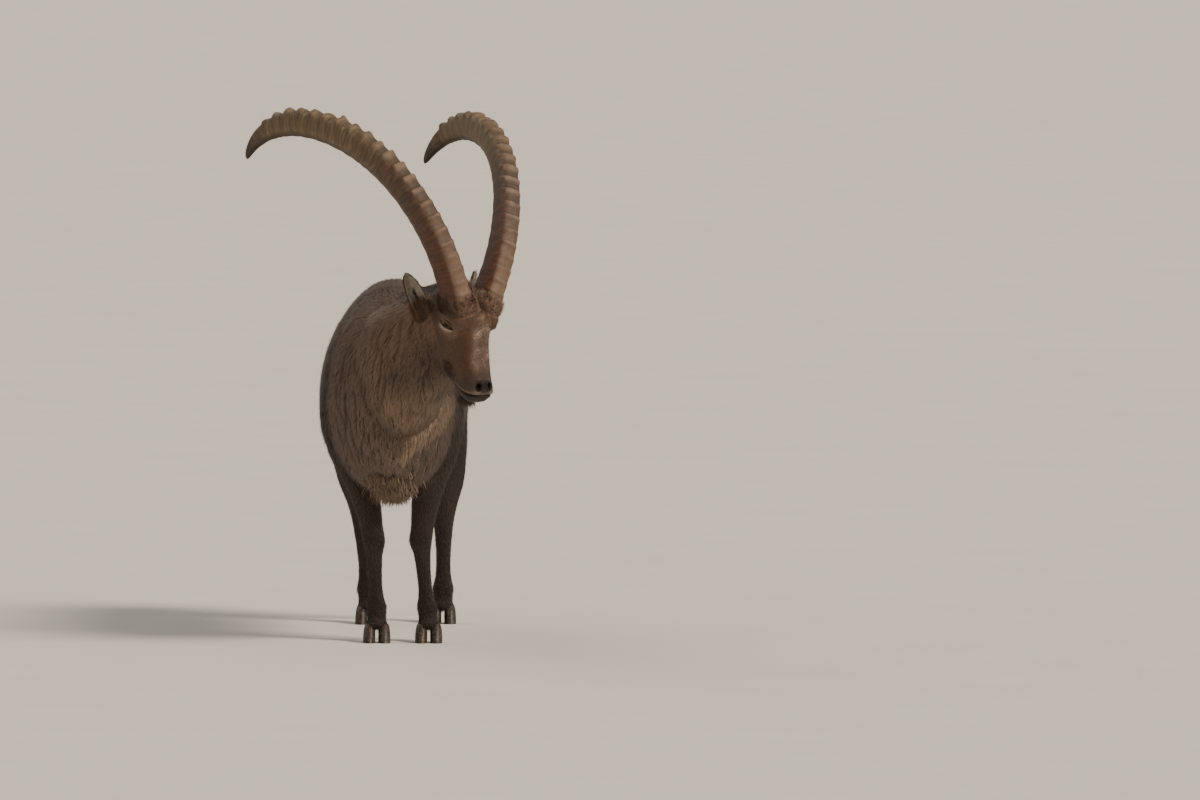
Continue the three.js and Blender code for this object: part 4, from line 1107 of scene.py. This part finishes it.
def earSurface(hand, share, span, depth):
    # share runs to the tip, span from edge to edge, depth into the thickness
    root, along, opening, across = earFrame(hand)
    leaf = np.maximum(np.sin(np.pi * (0.16 + 0.84 * np.clip(share, 0, 1)) ** 0.9), 0) ** 0.48
    half = ear["half"] * leaf + 1.5
    curl = 1.25 - 0.7 * share
    radius = half / np.sin(curl)
    turn = span * curl
    return (root + along * (share * ear["length"])[..., None]
            + across * (np.sin(turn) * (radius - depth))[..., None]
            + opening * ((1 - np.cos(turn)) * (radius - depth) + depth - 6 * share * share)[..., None])


def earTone(share, span, inside):
    # grey-brown back, pale hair inside with painted shade, nearly black, down its hollow middle, and a dark
    # rim
    inner = tint(colours["earInner"], colours["earHollowShade"],
                smooth(np.abs(span - 0.05), 0.3, 0.08) * smooth(share, 0.8, 0.5))
    tone = tint(colours["earOuter"], inner, inside)
    tone = tint(tone, colours["earRim"], smooth(np.abs(span), 0.93, 1.0) * 0.6)
    tone = tint(tone, colours["face"], smooth(share, 0.4, 0.22) * 0.9)
    return tint(tone, colours["earRim"], smooth(share, 0.9, 1.0) * 0.6)


def earPiece(hand, name):
    rows, acrossCount = ear["rows"], ear["across"]
    share = np.linspace(0, 1, rows)[:, None] * np.ones(2 * acrossCount)
    there = np.linspace(-1, 1, acrossCount)
    span = np.concatenate([there, there[::-1]])[None] * np.ones((rows, 1))
    inner = np.repeat([0.0, 1.0], acrossCount)[None] * np.ones((rows, 1))
    grid = earSurface(hand, share, span, mix(ear["footThick"], ear["tipThick"], share) * inner)
    return closedPiece(name, grid, earTone(share, span, inner).reshape(-1, 3), "coatColour")


earPieces = {hand: earPiece(hand, name) for hand, name in ((1, "earLeft"), (-1, "earRight"))}


def earHair(hand, name):
    # short hair on the back, a fringe along both edges, longer pale hair inside the cup, and long hair
    # round its foot
    draw = np.random.default_rng(50 + hand)
    along, opening = earFrame(hand)[1:3]
    count = ear["hairs"]
    share = draw.uniform(0.02, 0.98, count)
    kind = draw.random(count)
    inside, fringe = kind < ear["insideHairs"], kind > 1 - ear["fringeHairs"]
    span = np.where(fringe, np.sign(draw.uniform(-1, 1, count)) * draw.uniform(0.9, 1.0, count),
                    draw.uniform(-0.95, 0.95, count))
    span = np.where(inside, np.sign(span) * np.abs(span) ** 0.6, span)
    thickness = np.where(inside, mix(ear["footThick"], ear["tipThick"], share), 0)
    spot, step = earSurface(hand, share, span, thickness), 0.01
    forth = earSurface(hand, np.minimum(share + step, 1.01), span, thickness) - spot
    aside = earSurface(hand, share, span + step, thickness) - spot
    lie = unit(forth)
    out = unit(np.cross(lie, unit(aside)))
    facing = np.where(out @ opening < 0, -1, 1)
    out = out * (facing * np.where(inside, 1, -1))[:, None]
    outward = unit(aside) * np.sign(span)[:, None]
    lie = unit(lie + outward * np.where(fringe, 0.3, 0.0)[:, None] + draw.normal(0, 0.12, (count, 3)))
    length = np.where(inside, 13, 8) * draw.uniform(0.7, 1.25, count)
    width = np.where(inside, 1.5, 1.8) * draw.uniform(0.8, 1.2, count)
    tone = earTone(share, np.where(fringe, span, span * 0.9), inside * 1.0)
    tone = tone * (1 + 0.15 * draw.normal(0, 1, count))[:, None]
    rise = np.radians(np.where(inside, 24, 12) + draw.normal(0, 5, count))
    uv = np.stack([0.02 + 0.46 * (hand > 0) + 0.44 * (span + 1) / 2, 0.02 + 0.94 * share], -1)
    foot = draw.random(count) < ear["rootHairs"]
    ring = earSurface(hand, share * 0, span, share * 0) + along * draw.uniform(-22, 16, (count, 1))
    spot = np.where(foot[:, None], ring + out * draw.uniform(0, 9, (count, 1)), spot)
    lie = np.where(foot[:, None], unit(along + draw.normal(0, 0.2, (count, 3))), lie)
    length = np.where(foot, draw.uniform(24, 42, count), length)
    tone = np.where(foot[:, None], tint(colours["face"], colours["neck"], draw.random(count)), tone)
    return tuftMesh(name, fromHead(spot), onHead(out), onHead(lie), length, width, width * 0.3, rise,
                    tone * 0.65, tone * 1.1, uv, bend=0.6, sink=0.6)


earHairs = [earHair(1, "earHairLeft"), earHair(-1, "earHairRight")]
print("stage: ears made")


# eyes: a ball with an amber iris and a wide dark pupil, under a wet surface

eyeColours = {name: linear(code) for name, code in {
    "white": "#2e211b", "iris": "#5d421c", "irisDark": "#2e1f10", "pupil": "#07060a",
    "lidEdge": "#1b1412"}.items()}


def eyePiece(hand, name):
    aim, slit, height = eyeAxes(hand)
    polar = np.linspace(0.02, np.pi - 0.02, 60)
    turn = np.linspace(0, 2 * np.pi, 72, endpoint=False)
    a, b = np.cos(polar)[:, None] * np.ones(72), np.sin(polar)[:, None]
    u, v = b * np.cos(turn), b * np.sin(turn)
    cornea = 1 + 0.035 * bell(np.arccos(np.clip(a, -1, 1)), 0, 0.5)
    radius = (eye["radius"] - 0.4) * cornea
    grid = (eyeCentre(hand) + aim * (a * radius)[..., None] + slit * (u * radius)[..., None]
            + height * (v * radius)[..., None])
    ring = np.sqrt(u ** 2 + v ** 2)
    tone = tint(eyeColours["white"], eyeColours["irisDark"], smooth(ring, 0.72, 0.66))
    tone = tint(tone, eyeColours["iris"], smooth(ring, 0.66, 0.4))
    bar = (np.abs(u / 0.44) ** 2.6 + np.abs(v / 0.19) ** 2.6) ** 0.6
    tone = tint(tone, eyeColours["pupil"], smooth(bar, 1.15, 0.85))
    tone = np.where((a < 0)[..., None], eyeColours["white"], tone).reshape(-1, 3)
    return closedPiece(name, grid, tone, "eyeColour")


eyePieces = {1: eyePiece(1, "eyeLeft"), -1: eyePiece(-1, "eyeRight")}

lid = {"half": 21, "aside": 3, "upper": 4.2, "lower": -4.6, "outer": (28, 19), "thick": 2.6, "hairs": 900}


def lidSurface(hand, turn, loop):
    # a ring round the slit: a rounded edge on the ball, a swell with a fold above, then into the face
    aim, slit, height = eyeAxes(hand)
    cosT, sinT = np.cos(turn), np.sin(turn)
    rimV = np.where(sinT > 0, lid["upper"], lid["lower"]) * (1 - cosT ** 2) ** 0.8
    out = (1 - np.cos(loop)) / 2
    u = lid["half"] * cosT * (1 - out) + lid["outer"][0] * cosT * out + lid["aside"]
    v = rimV * (1 - out) + lid["outer"][1] * sinT * out
    far = np.sqrt(u ** 2 + v ** 2)
    ball = np.sqrt(np.maximum((eye["radius"] + 0.3) ** 2 - far ** 2, 0))
    slope = 11.2 - 0.22 * np.maximum(far - 10, 0) ** 1.25
    swell = np.sin(loop)
    fold = (-1.2 * bell(out, 0.5, 0.08) + 0.6 * bell(out, 0.25, 0.15)) * (sinT > 0)
    thick = lid["thick"] * (1 - 0.75 * out) * np.where(sinT > 0, 1.5, 0.85)
    top = np.where(swell > 0, swell * (thick + fold), swell * 0.8)
    spot = (eyeCentre(hand) + slit * u[..., None] + height * v[..., None]
            + aim * (np.maximum(ball, slope) + top)[..., None])
    return spot, out, cosT, sinT


def lidTone(out, cosT, sinT):
    # near the face's colour, paler at the lower edge, with a dark rim that runs on at both corners
    shape = np.broadcast(out, cosT).shape
    tone = tint(colours["eyeRing"], colours["lid"], (sinT > 0) * np.ones(shape))
    tone = tint(tone, colours["lidRim"], bell(out, 0.3, 0.14) * (sinT < 0) * 0.9)
    tone = tint(tone, colours["face"], smooth(out, 0.6, 0.95) * np.ones(shape))
    tone = tint(tone, eyeColours["lidEdge"], smooth(out, 0.17, 0.06) * np.ones(shape))
    return tint(tone, eyeColours["lidEdge"], smooth(np.abs(cosT), 0.8, 0.97) * smooth(out, 0.75, 0.2))


def lidPiece(hand, name):
    turn = np.linspace(0, 2 * np.pi, 96, endpoint=False)[None]
    loop = np.linspace(0, 2 * np.pi, 24, endpoint=False)[:, None]
    grid, out, cosT, sinT = lidSurface(hand, turn, loop)
    quads = gridFaces(loop.size + 1, turn.size) % (loop.size * turn.size)
    piece = makeObject(name, place(fromHead(grid.reshape(-1, 3))), quads)
    faceOutwards(piece)
    paint(piece, lidTone(out, cosT, sinT).reshape(-1, 3))
    return piece


def lidHair(hand, name):
    # short hair from the lids' folds outwards into the face
    draw = np.random.default_rng(60 + hand)
    turn = draw.uniform(0, 2 * np.pi, lid["hairs"])
    loop = np.arccos(1 - 2 * draw.uniform(0.3, 0.97, lid["hairs"]))
    spot, out, cosT, sinT = lidSurface(hand, turn, loop)
    forth = lidSurface(hand, turn, loop + 0.02)[0] - spot
    aside = lidSurface(hand, turn + 0.02, loop)[0] - spot
    normal = unit(np.cross(forth, aside))
    normal = normal * np.sign(normal @ eyeAxes(hand)[0])[:, None]
    lie = unit(unit(forth) + np.array([0, 0.35, -0.5]) + draw.normal(0, 0.15, spot.shape))
    tone = lidTone(out, cosT, sinT) * draw.uniform(0.85, 1.15, (lid["hairs"], 1))
    length = draw.uniform(3.5, 6.5, lid["hairs"])
    uv = np.stack([0.02 + 0.46 * (hand > 0) + 0.44 * turn / (2 * np.pi), 0.02 + 0.94 * out], -1)
    return tuftMesh(name, fromHead(spot), onHead(normal), onHead(lie), length, length * 0.17,
                    length * 0.06, np.radians(draw.normal(13, 4, lid["hairs"])), tone * 0.75, tone * 1.1, uv,
                    rings=1, sink=0.3)


lidPieces = [lidPiece(1, "lidsLeft"), lidPiece(-1, "lidsRight")]
lidHairs = [lidHair(1, "lidHairLeft"), lidHair(-1, "lidHairRight")]
print("stage: eyes made")


# hooves: two claws a foot, flat below, sloped in front, with growth rings

hoof = {"length": 66, "side": 17.5}
clawTable = np.array([[0, 14, 16.5, 0.52, 0.44], [16, 10, 16.5, 0.46, 0.42], [33, 4, 15.5, 0.38, 0.36],
                      [46, -1, 12.5, 0.27, 0.28]])


def clawPiece(rows, side, name):
    # an oval that shrinks from the sole to the coronet, its inner wall flatter, with fine rings
    x, y = rows[-1, :2]
    middle = x + side * hoof["side"]
    height, forth, half, front, back = clawTable.T
    stations = np.stack([middle + side * forth * 0.08, y - forth, height, half, front * hoof["length"],
                         back * hoof["length"], np.full(4, 2.3)], -1)
    at = np.concatenate([[0, 0.02], np.linspace(0.06, 3, 30)])
    row = rowsAt(stations, at)
    turn = np.linspace(0, 2 * np.pi, 40, endpoint=False)
    s, c = np.sin(turn)[None], np.cos(turn)[None]
    shrink = np.ones(len(at))
    shrink[0] = 0.93
    ringWave = 0.35 * np.sin(at * 17)[:, None]
    inward = np.where(s * side < 0, 0.9, 1.0)
    sideways = signedPower(s, 2 / row[:, 6:7]) * (row[:, 3:4] * shrink[:, None] * inward - 0.2 + ringWave)
    reach = np.where(c > 0, row[:, 4:5], row[:, 5:6]) * shrink[:, None]
    forward = signedPower(c, 2 / row[:, 6:7]) * (reach - 0.2 + ringWave)
    grid = np.stack(np.broadcast_arrays(row[:, 0:1] + sideways, row[:, 1:2] - forward, row[:, 2:3]), -1)
    return gridMesh(name, grid, grid[0].mean(0), grid[-1].mean(0) + [0, 0, 3], at / 3, turn / (2 * np.pi))


hoofPieces = {}
for legName, rows in legs.items():
    hand = handOf(legName)
    for side, word in ((-hand, "inner"), (hand, "outer")):
        node = "hoof_" + legName[:4] + "_" + legName[4:].lower() + "_" + word
        name = "hoof" + legName[0].upper() + legName[1:] + word.capitalize()
        hoofPieces[node] = clawPiece(rows, side, name)
print("stage: hooves made")


# long locks: beard, forelock, mane, brisket and tail

# how many, their length and width in millimetres, degrees that they stand up, how they bend and how unruly,
# and for the beard the radius of the patch that it grows from
lockLook = {
    "beard": dict(count=300, length=46.0, width=2.8, rise=4, seed=72, bend=0.3, spread=0.15, ring=12),
    "forelock": dict(count=520, length=24.0, width=2.6, rise=18, seed=73, bend=0.5, spread=0.35),
    "mane": dict(count=900, length=46.0, width=3.4, rise=13, seed=74, bend=0.5, spread=0.15),
    "brisket": dict(count=800, length=36.0, width=2.5, rise=8, seed=75, bend=0.2, spread=0.3),
    "tailTuft": dict(count=420, length=52.0, width=3.4, rise=6, seed=76, bend=0.3, spread=0.15)}
lockColours = {name: linear(code) for name, code in {
    "beard": "#443529", "forelock": "#8a6148", "forelockBack": "#4a3528", "mane": "#2f231c",
    "brisket": "#86705a", "tailTuft": "#2a201b"}.items()}


def locks(name, roots, normals, lie, tone=None):
    # tufts of three joints that grow from the roots along the lie
    made = lockLook[name]
    draw, count = np.random.default_rng(made["seed"]), made["count"]
    lie = unit(lie + draw.normal(0, made["spread"], (count, 3)))
    length = made["length"] * draw.uniform(0.7, 1.15, count)
    width = made["width"] * draw.uniform(0.75, 1.3, count)
    tone = (lockColours[name] if tone is None else tone) * (1 + 0.16 * draw.normal(0, 1, count))[:, None]
    uv = np.stack([0.01 + 0.97 * draw.random(count), 0.01 + 0.97 * draw.random(count)], -1)
    rise = np.radians(made["rise"] + draw.normal(0, 5, count))
    return tuftMesh(name, roots, normals, lie, length, width, width * 0.35, rise, tone * 0.55, tone * 1.1, uv,
                    bend=made["bend"], rings=3)


def tubeLocks(name, rows, over, places, turns, sink, lie):
    # locks on a tube's surface, with their roots a little inside it
    centre, _, above, across, row = sections(rows, places, over)
    power = 2 / row[:, 6]
    side = signedPower(np.sin(turns), power) * row[:, 3]
    reach = signedPower(np.cos(turns), power) * np.where(np.cos(turns) > 0, row[:, 4], row[:, 5])
    spot = centre + across * side[:, None] + above * reach[:, None]
    out = unit(across * (side / row[:, 3] ** 2)[:, None] + above * (reach / row[:, 4] ** 2)[:, None])
    return locks(name, spot - out * sink, out, np.array(lie))


draw = np.random.default_rng(71)

# the beard hangs from a long patch under the chin
count = lockLook["beard"]["count"]
around = draw.uniform(0, 2 * np.pi, count)
ringSize = lockLook["beard"]["ring"] * np.sqrt(draw.random(count))
outX, outY = np.cos(around), np.sin(around)
beardRoots = np.stack([ringSize * outX, 74 + 1.5 * ringSize * outY, np.full(count, -205)], -1)
beard = locks("beard", fromHead(beardRoots), onHead(np.stack([outX, outY, 0 * around], -1)),
              onHead(np.stack([0.08 * outX, 0.2 + 0.12 * outY, np.full(count, -0.95)], -1)))

# the forelock covers the crown between the horns, darker at its back
count = lockLook["forelock"]["count"]
x, y = draw.uniform(-15, 15, count), draw.uniform(6, 110, count)
crownLie = np.stack([x * 0.03, draw.uniform(-0.5, 0.9, count), draw.uniform(0.2, 0.9, count)], -1)
crownTone = tint(lockColours["forelock"], lockColours["forelockBack"], smooth(y, 50, 100))
forelock = locks("forelock", fromHead(np.stack([x, y, 2 + 38 * smooth(y, 0, 90)], -1)), onHead([0, 0, 1]),
                 onHead(crownLie), crownTone)

# the mane along the nape, the hair under the brisket and the tail's tuft grow on their tubes
count = lockLook["mane"]["count"]
mane = tubeLocks("mane", neckRows, None, draw.uniform(2.1, 4.7, count), draw.normal(0, 0.24, count), 6,
                 (-0.49, 0.84, -0.26))
count = lockLook["brisket"]["count"]
brisket = tubeLocks("brisket", torsoRows, up, draw.uniform(0.5, 2.4, count),
                    np.pi + draw.normal(0, 0.17, count), 6, (0, 0.5, -0.75))
count = lockLook["tailTuft"]["count"]
tailTuft = tubeLocks("tailTuft", tailRows, None, draw.uniform(1.2, 3.9, count),
                     draw.uniform(-np.pi, np.pi, count), 4, (0, 0.08, -1))
lockPieces = [beard, forelock, mane, brisket, tailTuft]
print("stage: locks made")


# materials

def addNode(material, kind, settings=None, links=None):
    # one node with its settings, and links from (node, socket) pairs into its sockets
    node = material.node_tree.nodes.new(kind)
    for key, value in (settings or {}).items():
        if hasattr(node, key):
            setattr(node, key, value)
        else:
            node.inputs[key].default_value = value
    for key, (source, socket) in (links or {}).items():
        material.node_tree.links.new(source.outputs[socket], node.inputs[key])
    return node


def newMaterial(name):
    material = bpy.data.materials.new(name)
    material.use_nodes = True
    material.node_tree.nodes.clear()
    return material


def finishMaterial(material, settings, links):
    shader = addNode(material, "ShaderNodeBsdfPrincipled", settings, links)
    addNode(material, "ShaderNodeOutputMaterial", None, {0: (shader, 0)})
    return material


def noiseOf(material, scale, detail, roughness=0.5, source=None):
    # noise with a patch of about 1 / scale, over the piece's own metres where no other source is named
    source = source or (addNode(material, "ShaderNodeTexCoord"), "Object")
    return addNode(material, "ShaderNodeTexNoise",
                   {"Scale": scale, "Detail": detail, "Roughness": roughness}, {"Vector": source})


def shaded(material, painted, height, span, tones):
    # the painted colour, darker where the height is low and paler where it is high
    shade = addNode(material, "ShaderNodeMapRange",
                    {"From Min": span[0], "From Max": span[1], "To Min": tones[0], "To Max": tones[1]},
                    {"Value": (height, 0)})
    return addNode(material, "ShaderNodeVectorMath", {"operation": "SCALE"},
                   {0: (painted, "Color"), "Scale": (shade, 0)})


def blend(material, share, first, second):
    # from one sRGB colour to another
    colour = addNode(material, "ShaderNodeMix", {"data_type": "RGBA"}, {"Factor": (share, 0)})
    colour.inputs[6].default_value, colour.inputs[7].default_value = opaque(first), opaque(second)
    return colour


def shortHairSkin():
    # Skin under short hair: dull, its colour painted by place, broken up at the width of a few hairs (1.5 mm)
    # and raised by fine ridges that stretch down the body.
    material = newMaterial("short hair over skin")
    painted = addNode(material, "ShaderNodeAttribute", {"attribute_name": "coatColour"})
    spot = addNode(material, "ShaderNodeTexCoord")
    stretch = addNode(material, "ShaderNodeMapping", {"Scale": (1, 1, 0.3)}, {"Vector": (spot, "Object")})
    strands = noiseOf(material, 650, 3, 0.6, (stretch, 0))
    colour = shaded(material, painted, strands, (0.3, 0.7), (0.72, 1.2))
    bump = addNode(material, "ShaderNodeBump", {"Strength": 0.5, "Distance": 0.0012},
                   {"Height": (strands, 0)})
    return finishMaterial(material, {"Roughness": 0.82, "Specular IOR Level": 0.25},
                          {"Base Color": (colour, 0), "Normal": (bump, 0)})


def coarseHair():
    # Guard hair in tufts: coarse and straight, darker at the root, with the faint sheen of dry hair.
    material = newMaterial("coarse guard hair")
    painted = addNode(material, "ShaderNodeAttribute", {"attribute_name": "coatColour"})
    return finishMaterial(material, {"Roughness": 0.62, "Specular IOR Level": 0.3, "Sheen Weight": 0.1,
                                     "Sheen Roughness": 0.5}, {"Base Color": (painted, "Color")})


def hornSheath():
    # Horn keratin, grown in rings: dull and dry, with fine rings every 2.2 mm along the horn, and a grain of
    # 2.4 mm that breaks up its gloss.
    material = newMaterial("horn sheath keratin")
    painted = addNode(material, "ShaderNodeAttribute", {"attribute_name": "hornColour"})
    chart = addNode(material, "ShaderNodeUVMap", {"uv_map": "UVMap"})
    fine = addNode(material, "ShaderNodeMapping", {"Scale": (horn["length"] / 2.2, 6, 1)},
                   {"Vector": (chart, 0)})
    rings = noiseOf(material, 1.0, 4, 0.6, (fine, 0))
    grain = noiseOf(material, 420, 4, 0.65)
    height = addNode(material, "ShaderNodeMath", {"operation": "ADD"}, {0: (rings, 0), 1: (grain, 0)})
    colour = shaded(material, painted, height, (0.6, 1.4), (0.72, 1.22))
    bump = addNode(material, "ShaderNodeBump", {"Strength": 0.7, "Distance": 0.0012}, {"Height": (height, 0)})
    rough = addNode(material, "ShaderNodeMapRange",
                    {"From Min": 0.3, "From Max": 0.7, "To Min": 0.5, "To Max": 0.72},
                    {"Value": (grain, 0)})
    return finishMaterial(material, {"Specular IOR Level": 0.4},
                          {"Base Color": (colour, 0), "Normal": (bump, 0), "Roughness": (rough, 0)})


def hoofHorn():
    # Hoof horn: hard dark keratin, scuffed paler in patches of about 6 mm.
    material = newMaterial("hoof horn keratin")
    scuff = noiseOf(material, 160, 5, 0.65)
    share = addNode(material, "ShaderNodeMapRange", {"From Min": 0.42, "From Max": 0.75},
                    {"Value": (scuff, 0)})
    colour = blend(material, share, "#1c1613", "#5a4c40")
    bump = addNode(material, "ShaderNodeBump", {"Strength": 0.4, "Distance": 0.001}, {"Height": (scuff, 0)})
    return finishMaterial(material, {"Roughness": 0.5, "Specular IOR Level": 0.4},
                          {"Base Color": (colour, 2), "Normal": (bump, 0)})


def wetEye():
    # A living eye: amber iris and dark bar of a pupil under a thin wet film, which gives a small clear glint.
    material = newMaterial("wet eye surface")
    painted = addNode(material, "ShaderNodeAttribute", {"attribute_name": "eyeColour"})
    return finishMaterial(material, {"Roughness": 0.16, "IOR": 1.376, "Specular IOR Level": 0.25,
                                     "Coat Weight": 0.4, "Coat Roughness": 0.03},
                          {"Base Color": (painted, "Color")})


def studioFloor():
    # Matt painted studio floor, pale and warm, with a faint mottle at 0.4 m.
    material = newMaterial("matt studio floor paint")
    colour = blend(material, noiseOf(material, 2.5, 3), "#cfccc6", "#d8d5cf")
    return finishMaterial(material, {"Roughness": 0.9, "Specular IOR Level": 0.2},
                          {"Base Color": (colour, 2)})


skinMaterial, hairMaterial, hornMaterial = shortHairSkin(), coarseHair(), hornSheath()
hoofMaterial, eyeMaterial = hoofHorn(), wetEye()

for piece in [skin] + lidPieces + list(earPieces.values()):
    piece.data.materials.clear()
    piece.data.materials.append(skinMaterial)
for piece in coatPieces + lockPieces + earHairs + lidHairs:
    piece.data.materials.append(hairMaterial)
for piece in hornPieces.values():
    piece.data.materials.append(hornMaterial)
for piece in hoofPieces.values():
    piece.data.materials.append(hoofMaterial)
for piece in eyePieces.values():
    piece.data.materials.append(eyeMaterial)

# what rides and what it stands for
for piece in ([skin] + coatPieces + lockPieces + lidPieces + lidHairs + earHairs + list(earPieces.values())
              + list(hornPieces.values()) + list(hoofPieces.values()) + list(eyePieces.values())):
    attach(piece, "root")
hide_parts("torso", "neck", "head", "tail",
            "foreleg_left", "foreleg_right", "hindleg_left", "hindleg_right")
for hand, word in ((1, "left"), (-1, "right")):
    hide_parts("horn_" + word)
    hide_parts("eye_" + word)
    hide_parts("ear_" + word)
for node, piece in hoofPieces.items():
    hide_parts(node)
print("stage: materials and rides set")


# floor, light and camera

# two soft suns, each with its heading, power, width in degrees and tint: the key from the upper right in
# front, and a weak one from behind on the left
studioLook = {"floorHalf": 140, "sky": "#f6f0e6", "skyPower": 0.4, "suns": {
    "keySun": ((-0.78, 0.55, -0.75), 4.0, 18, "#fff0de"),
    "backSun": ((0.5, -0.6, -0.7), 0.7, 30, "#fff8ee")}}
# a long lens from far away, a little above level, aimed in the CAD's millimetres as the photograph is framed
photoLook = {"aim": (527, 0, 613), "tilt": 3, "distance": 33.8, "lens": 400, "sensor": 36, "farthest": 400}


def studio():
    corners = np.array([(-1, -1, 0), (1, -1, 0), (1, 1, 0), (-1, 1, 0)]) * studioLook["floorHalf"]
    floor = makeObject("studioFloor", corners, [[0, 1, 2, 3]], smoothShade=False)
    floor.data.materials.append(studioFloor())
    world = bpy.data.worlds.new("studio")
    bpy.context.scene.world = world
    world.use_nodes = True
    sky = world.node_tree.nodes["Background"].inputs
    sky[0].default_value, sky[1].default_value = opaque(studioLook["sky"]), studioLook["skyPower"]
    for name, (heading, power, width, shade) in studioLook["suns"].items():
        light = bpy.data.lights.new(name, "SUN")
        light.energy, light.angle, light.color = power, np.radians(width), tuple(linear(shade))
        lamp = bpy.data.objects.new(name, light)
        bpy.context.scene.collection.objects.link(lamp)
        lamp.location = (0, -4, 5)
        lamp.rotation_euler = Vector(heading).to_track_quat("-Z", "Y").to_euler()


def photoCamera():
    aim, tilt = Vector(place(np.array(photoLook["aim"], float))), np.radians(photoLook["tilt"])
    data = bpy.data.cameras.new("photoCamera")
    data.lens, data.sensor_width, data.clip_end = (photoLook[key] for key in ("lens", "sensor", "farthest"))
    camera = bpy.data.objects.new("photoCamera", data)
    bpy.context.scene.collection.objects.link(camera)
    camera.location = aim + Vector((0, -np.cos(tilt), np.sin(tilt))) * photoLook["distance"]
    camera.rotation_euler = (aim - camera.location).to_track_quat("-Z", "Y").to_euler()
    bpy.context.scene.camera = camera


studio()
photoCamera()
print("stage: studio set")
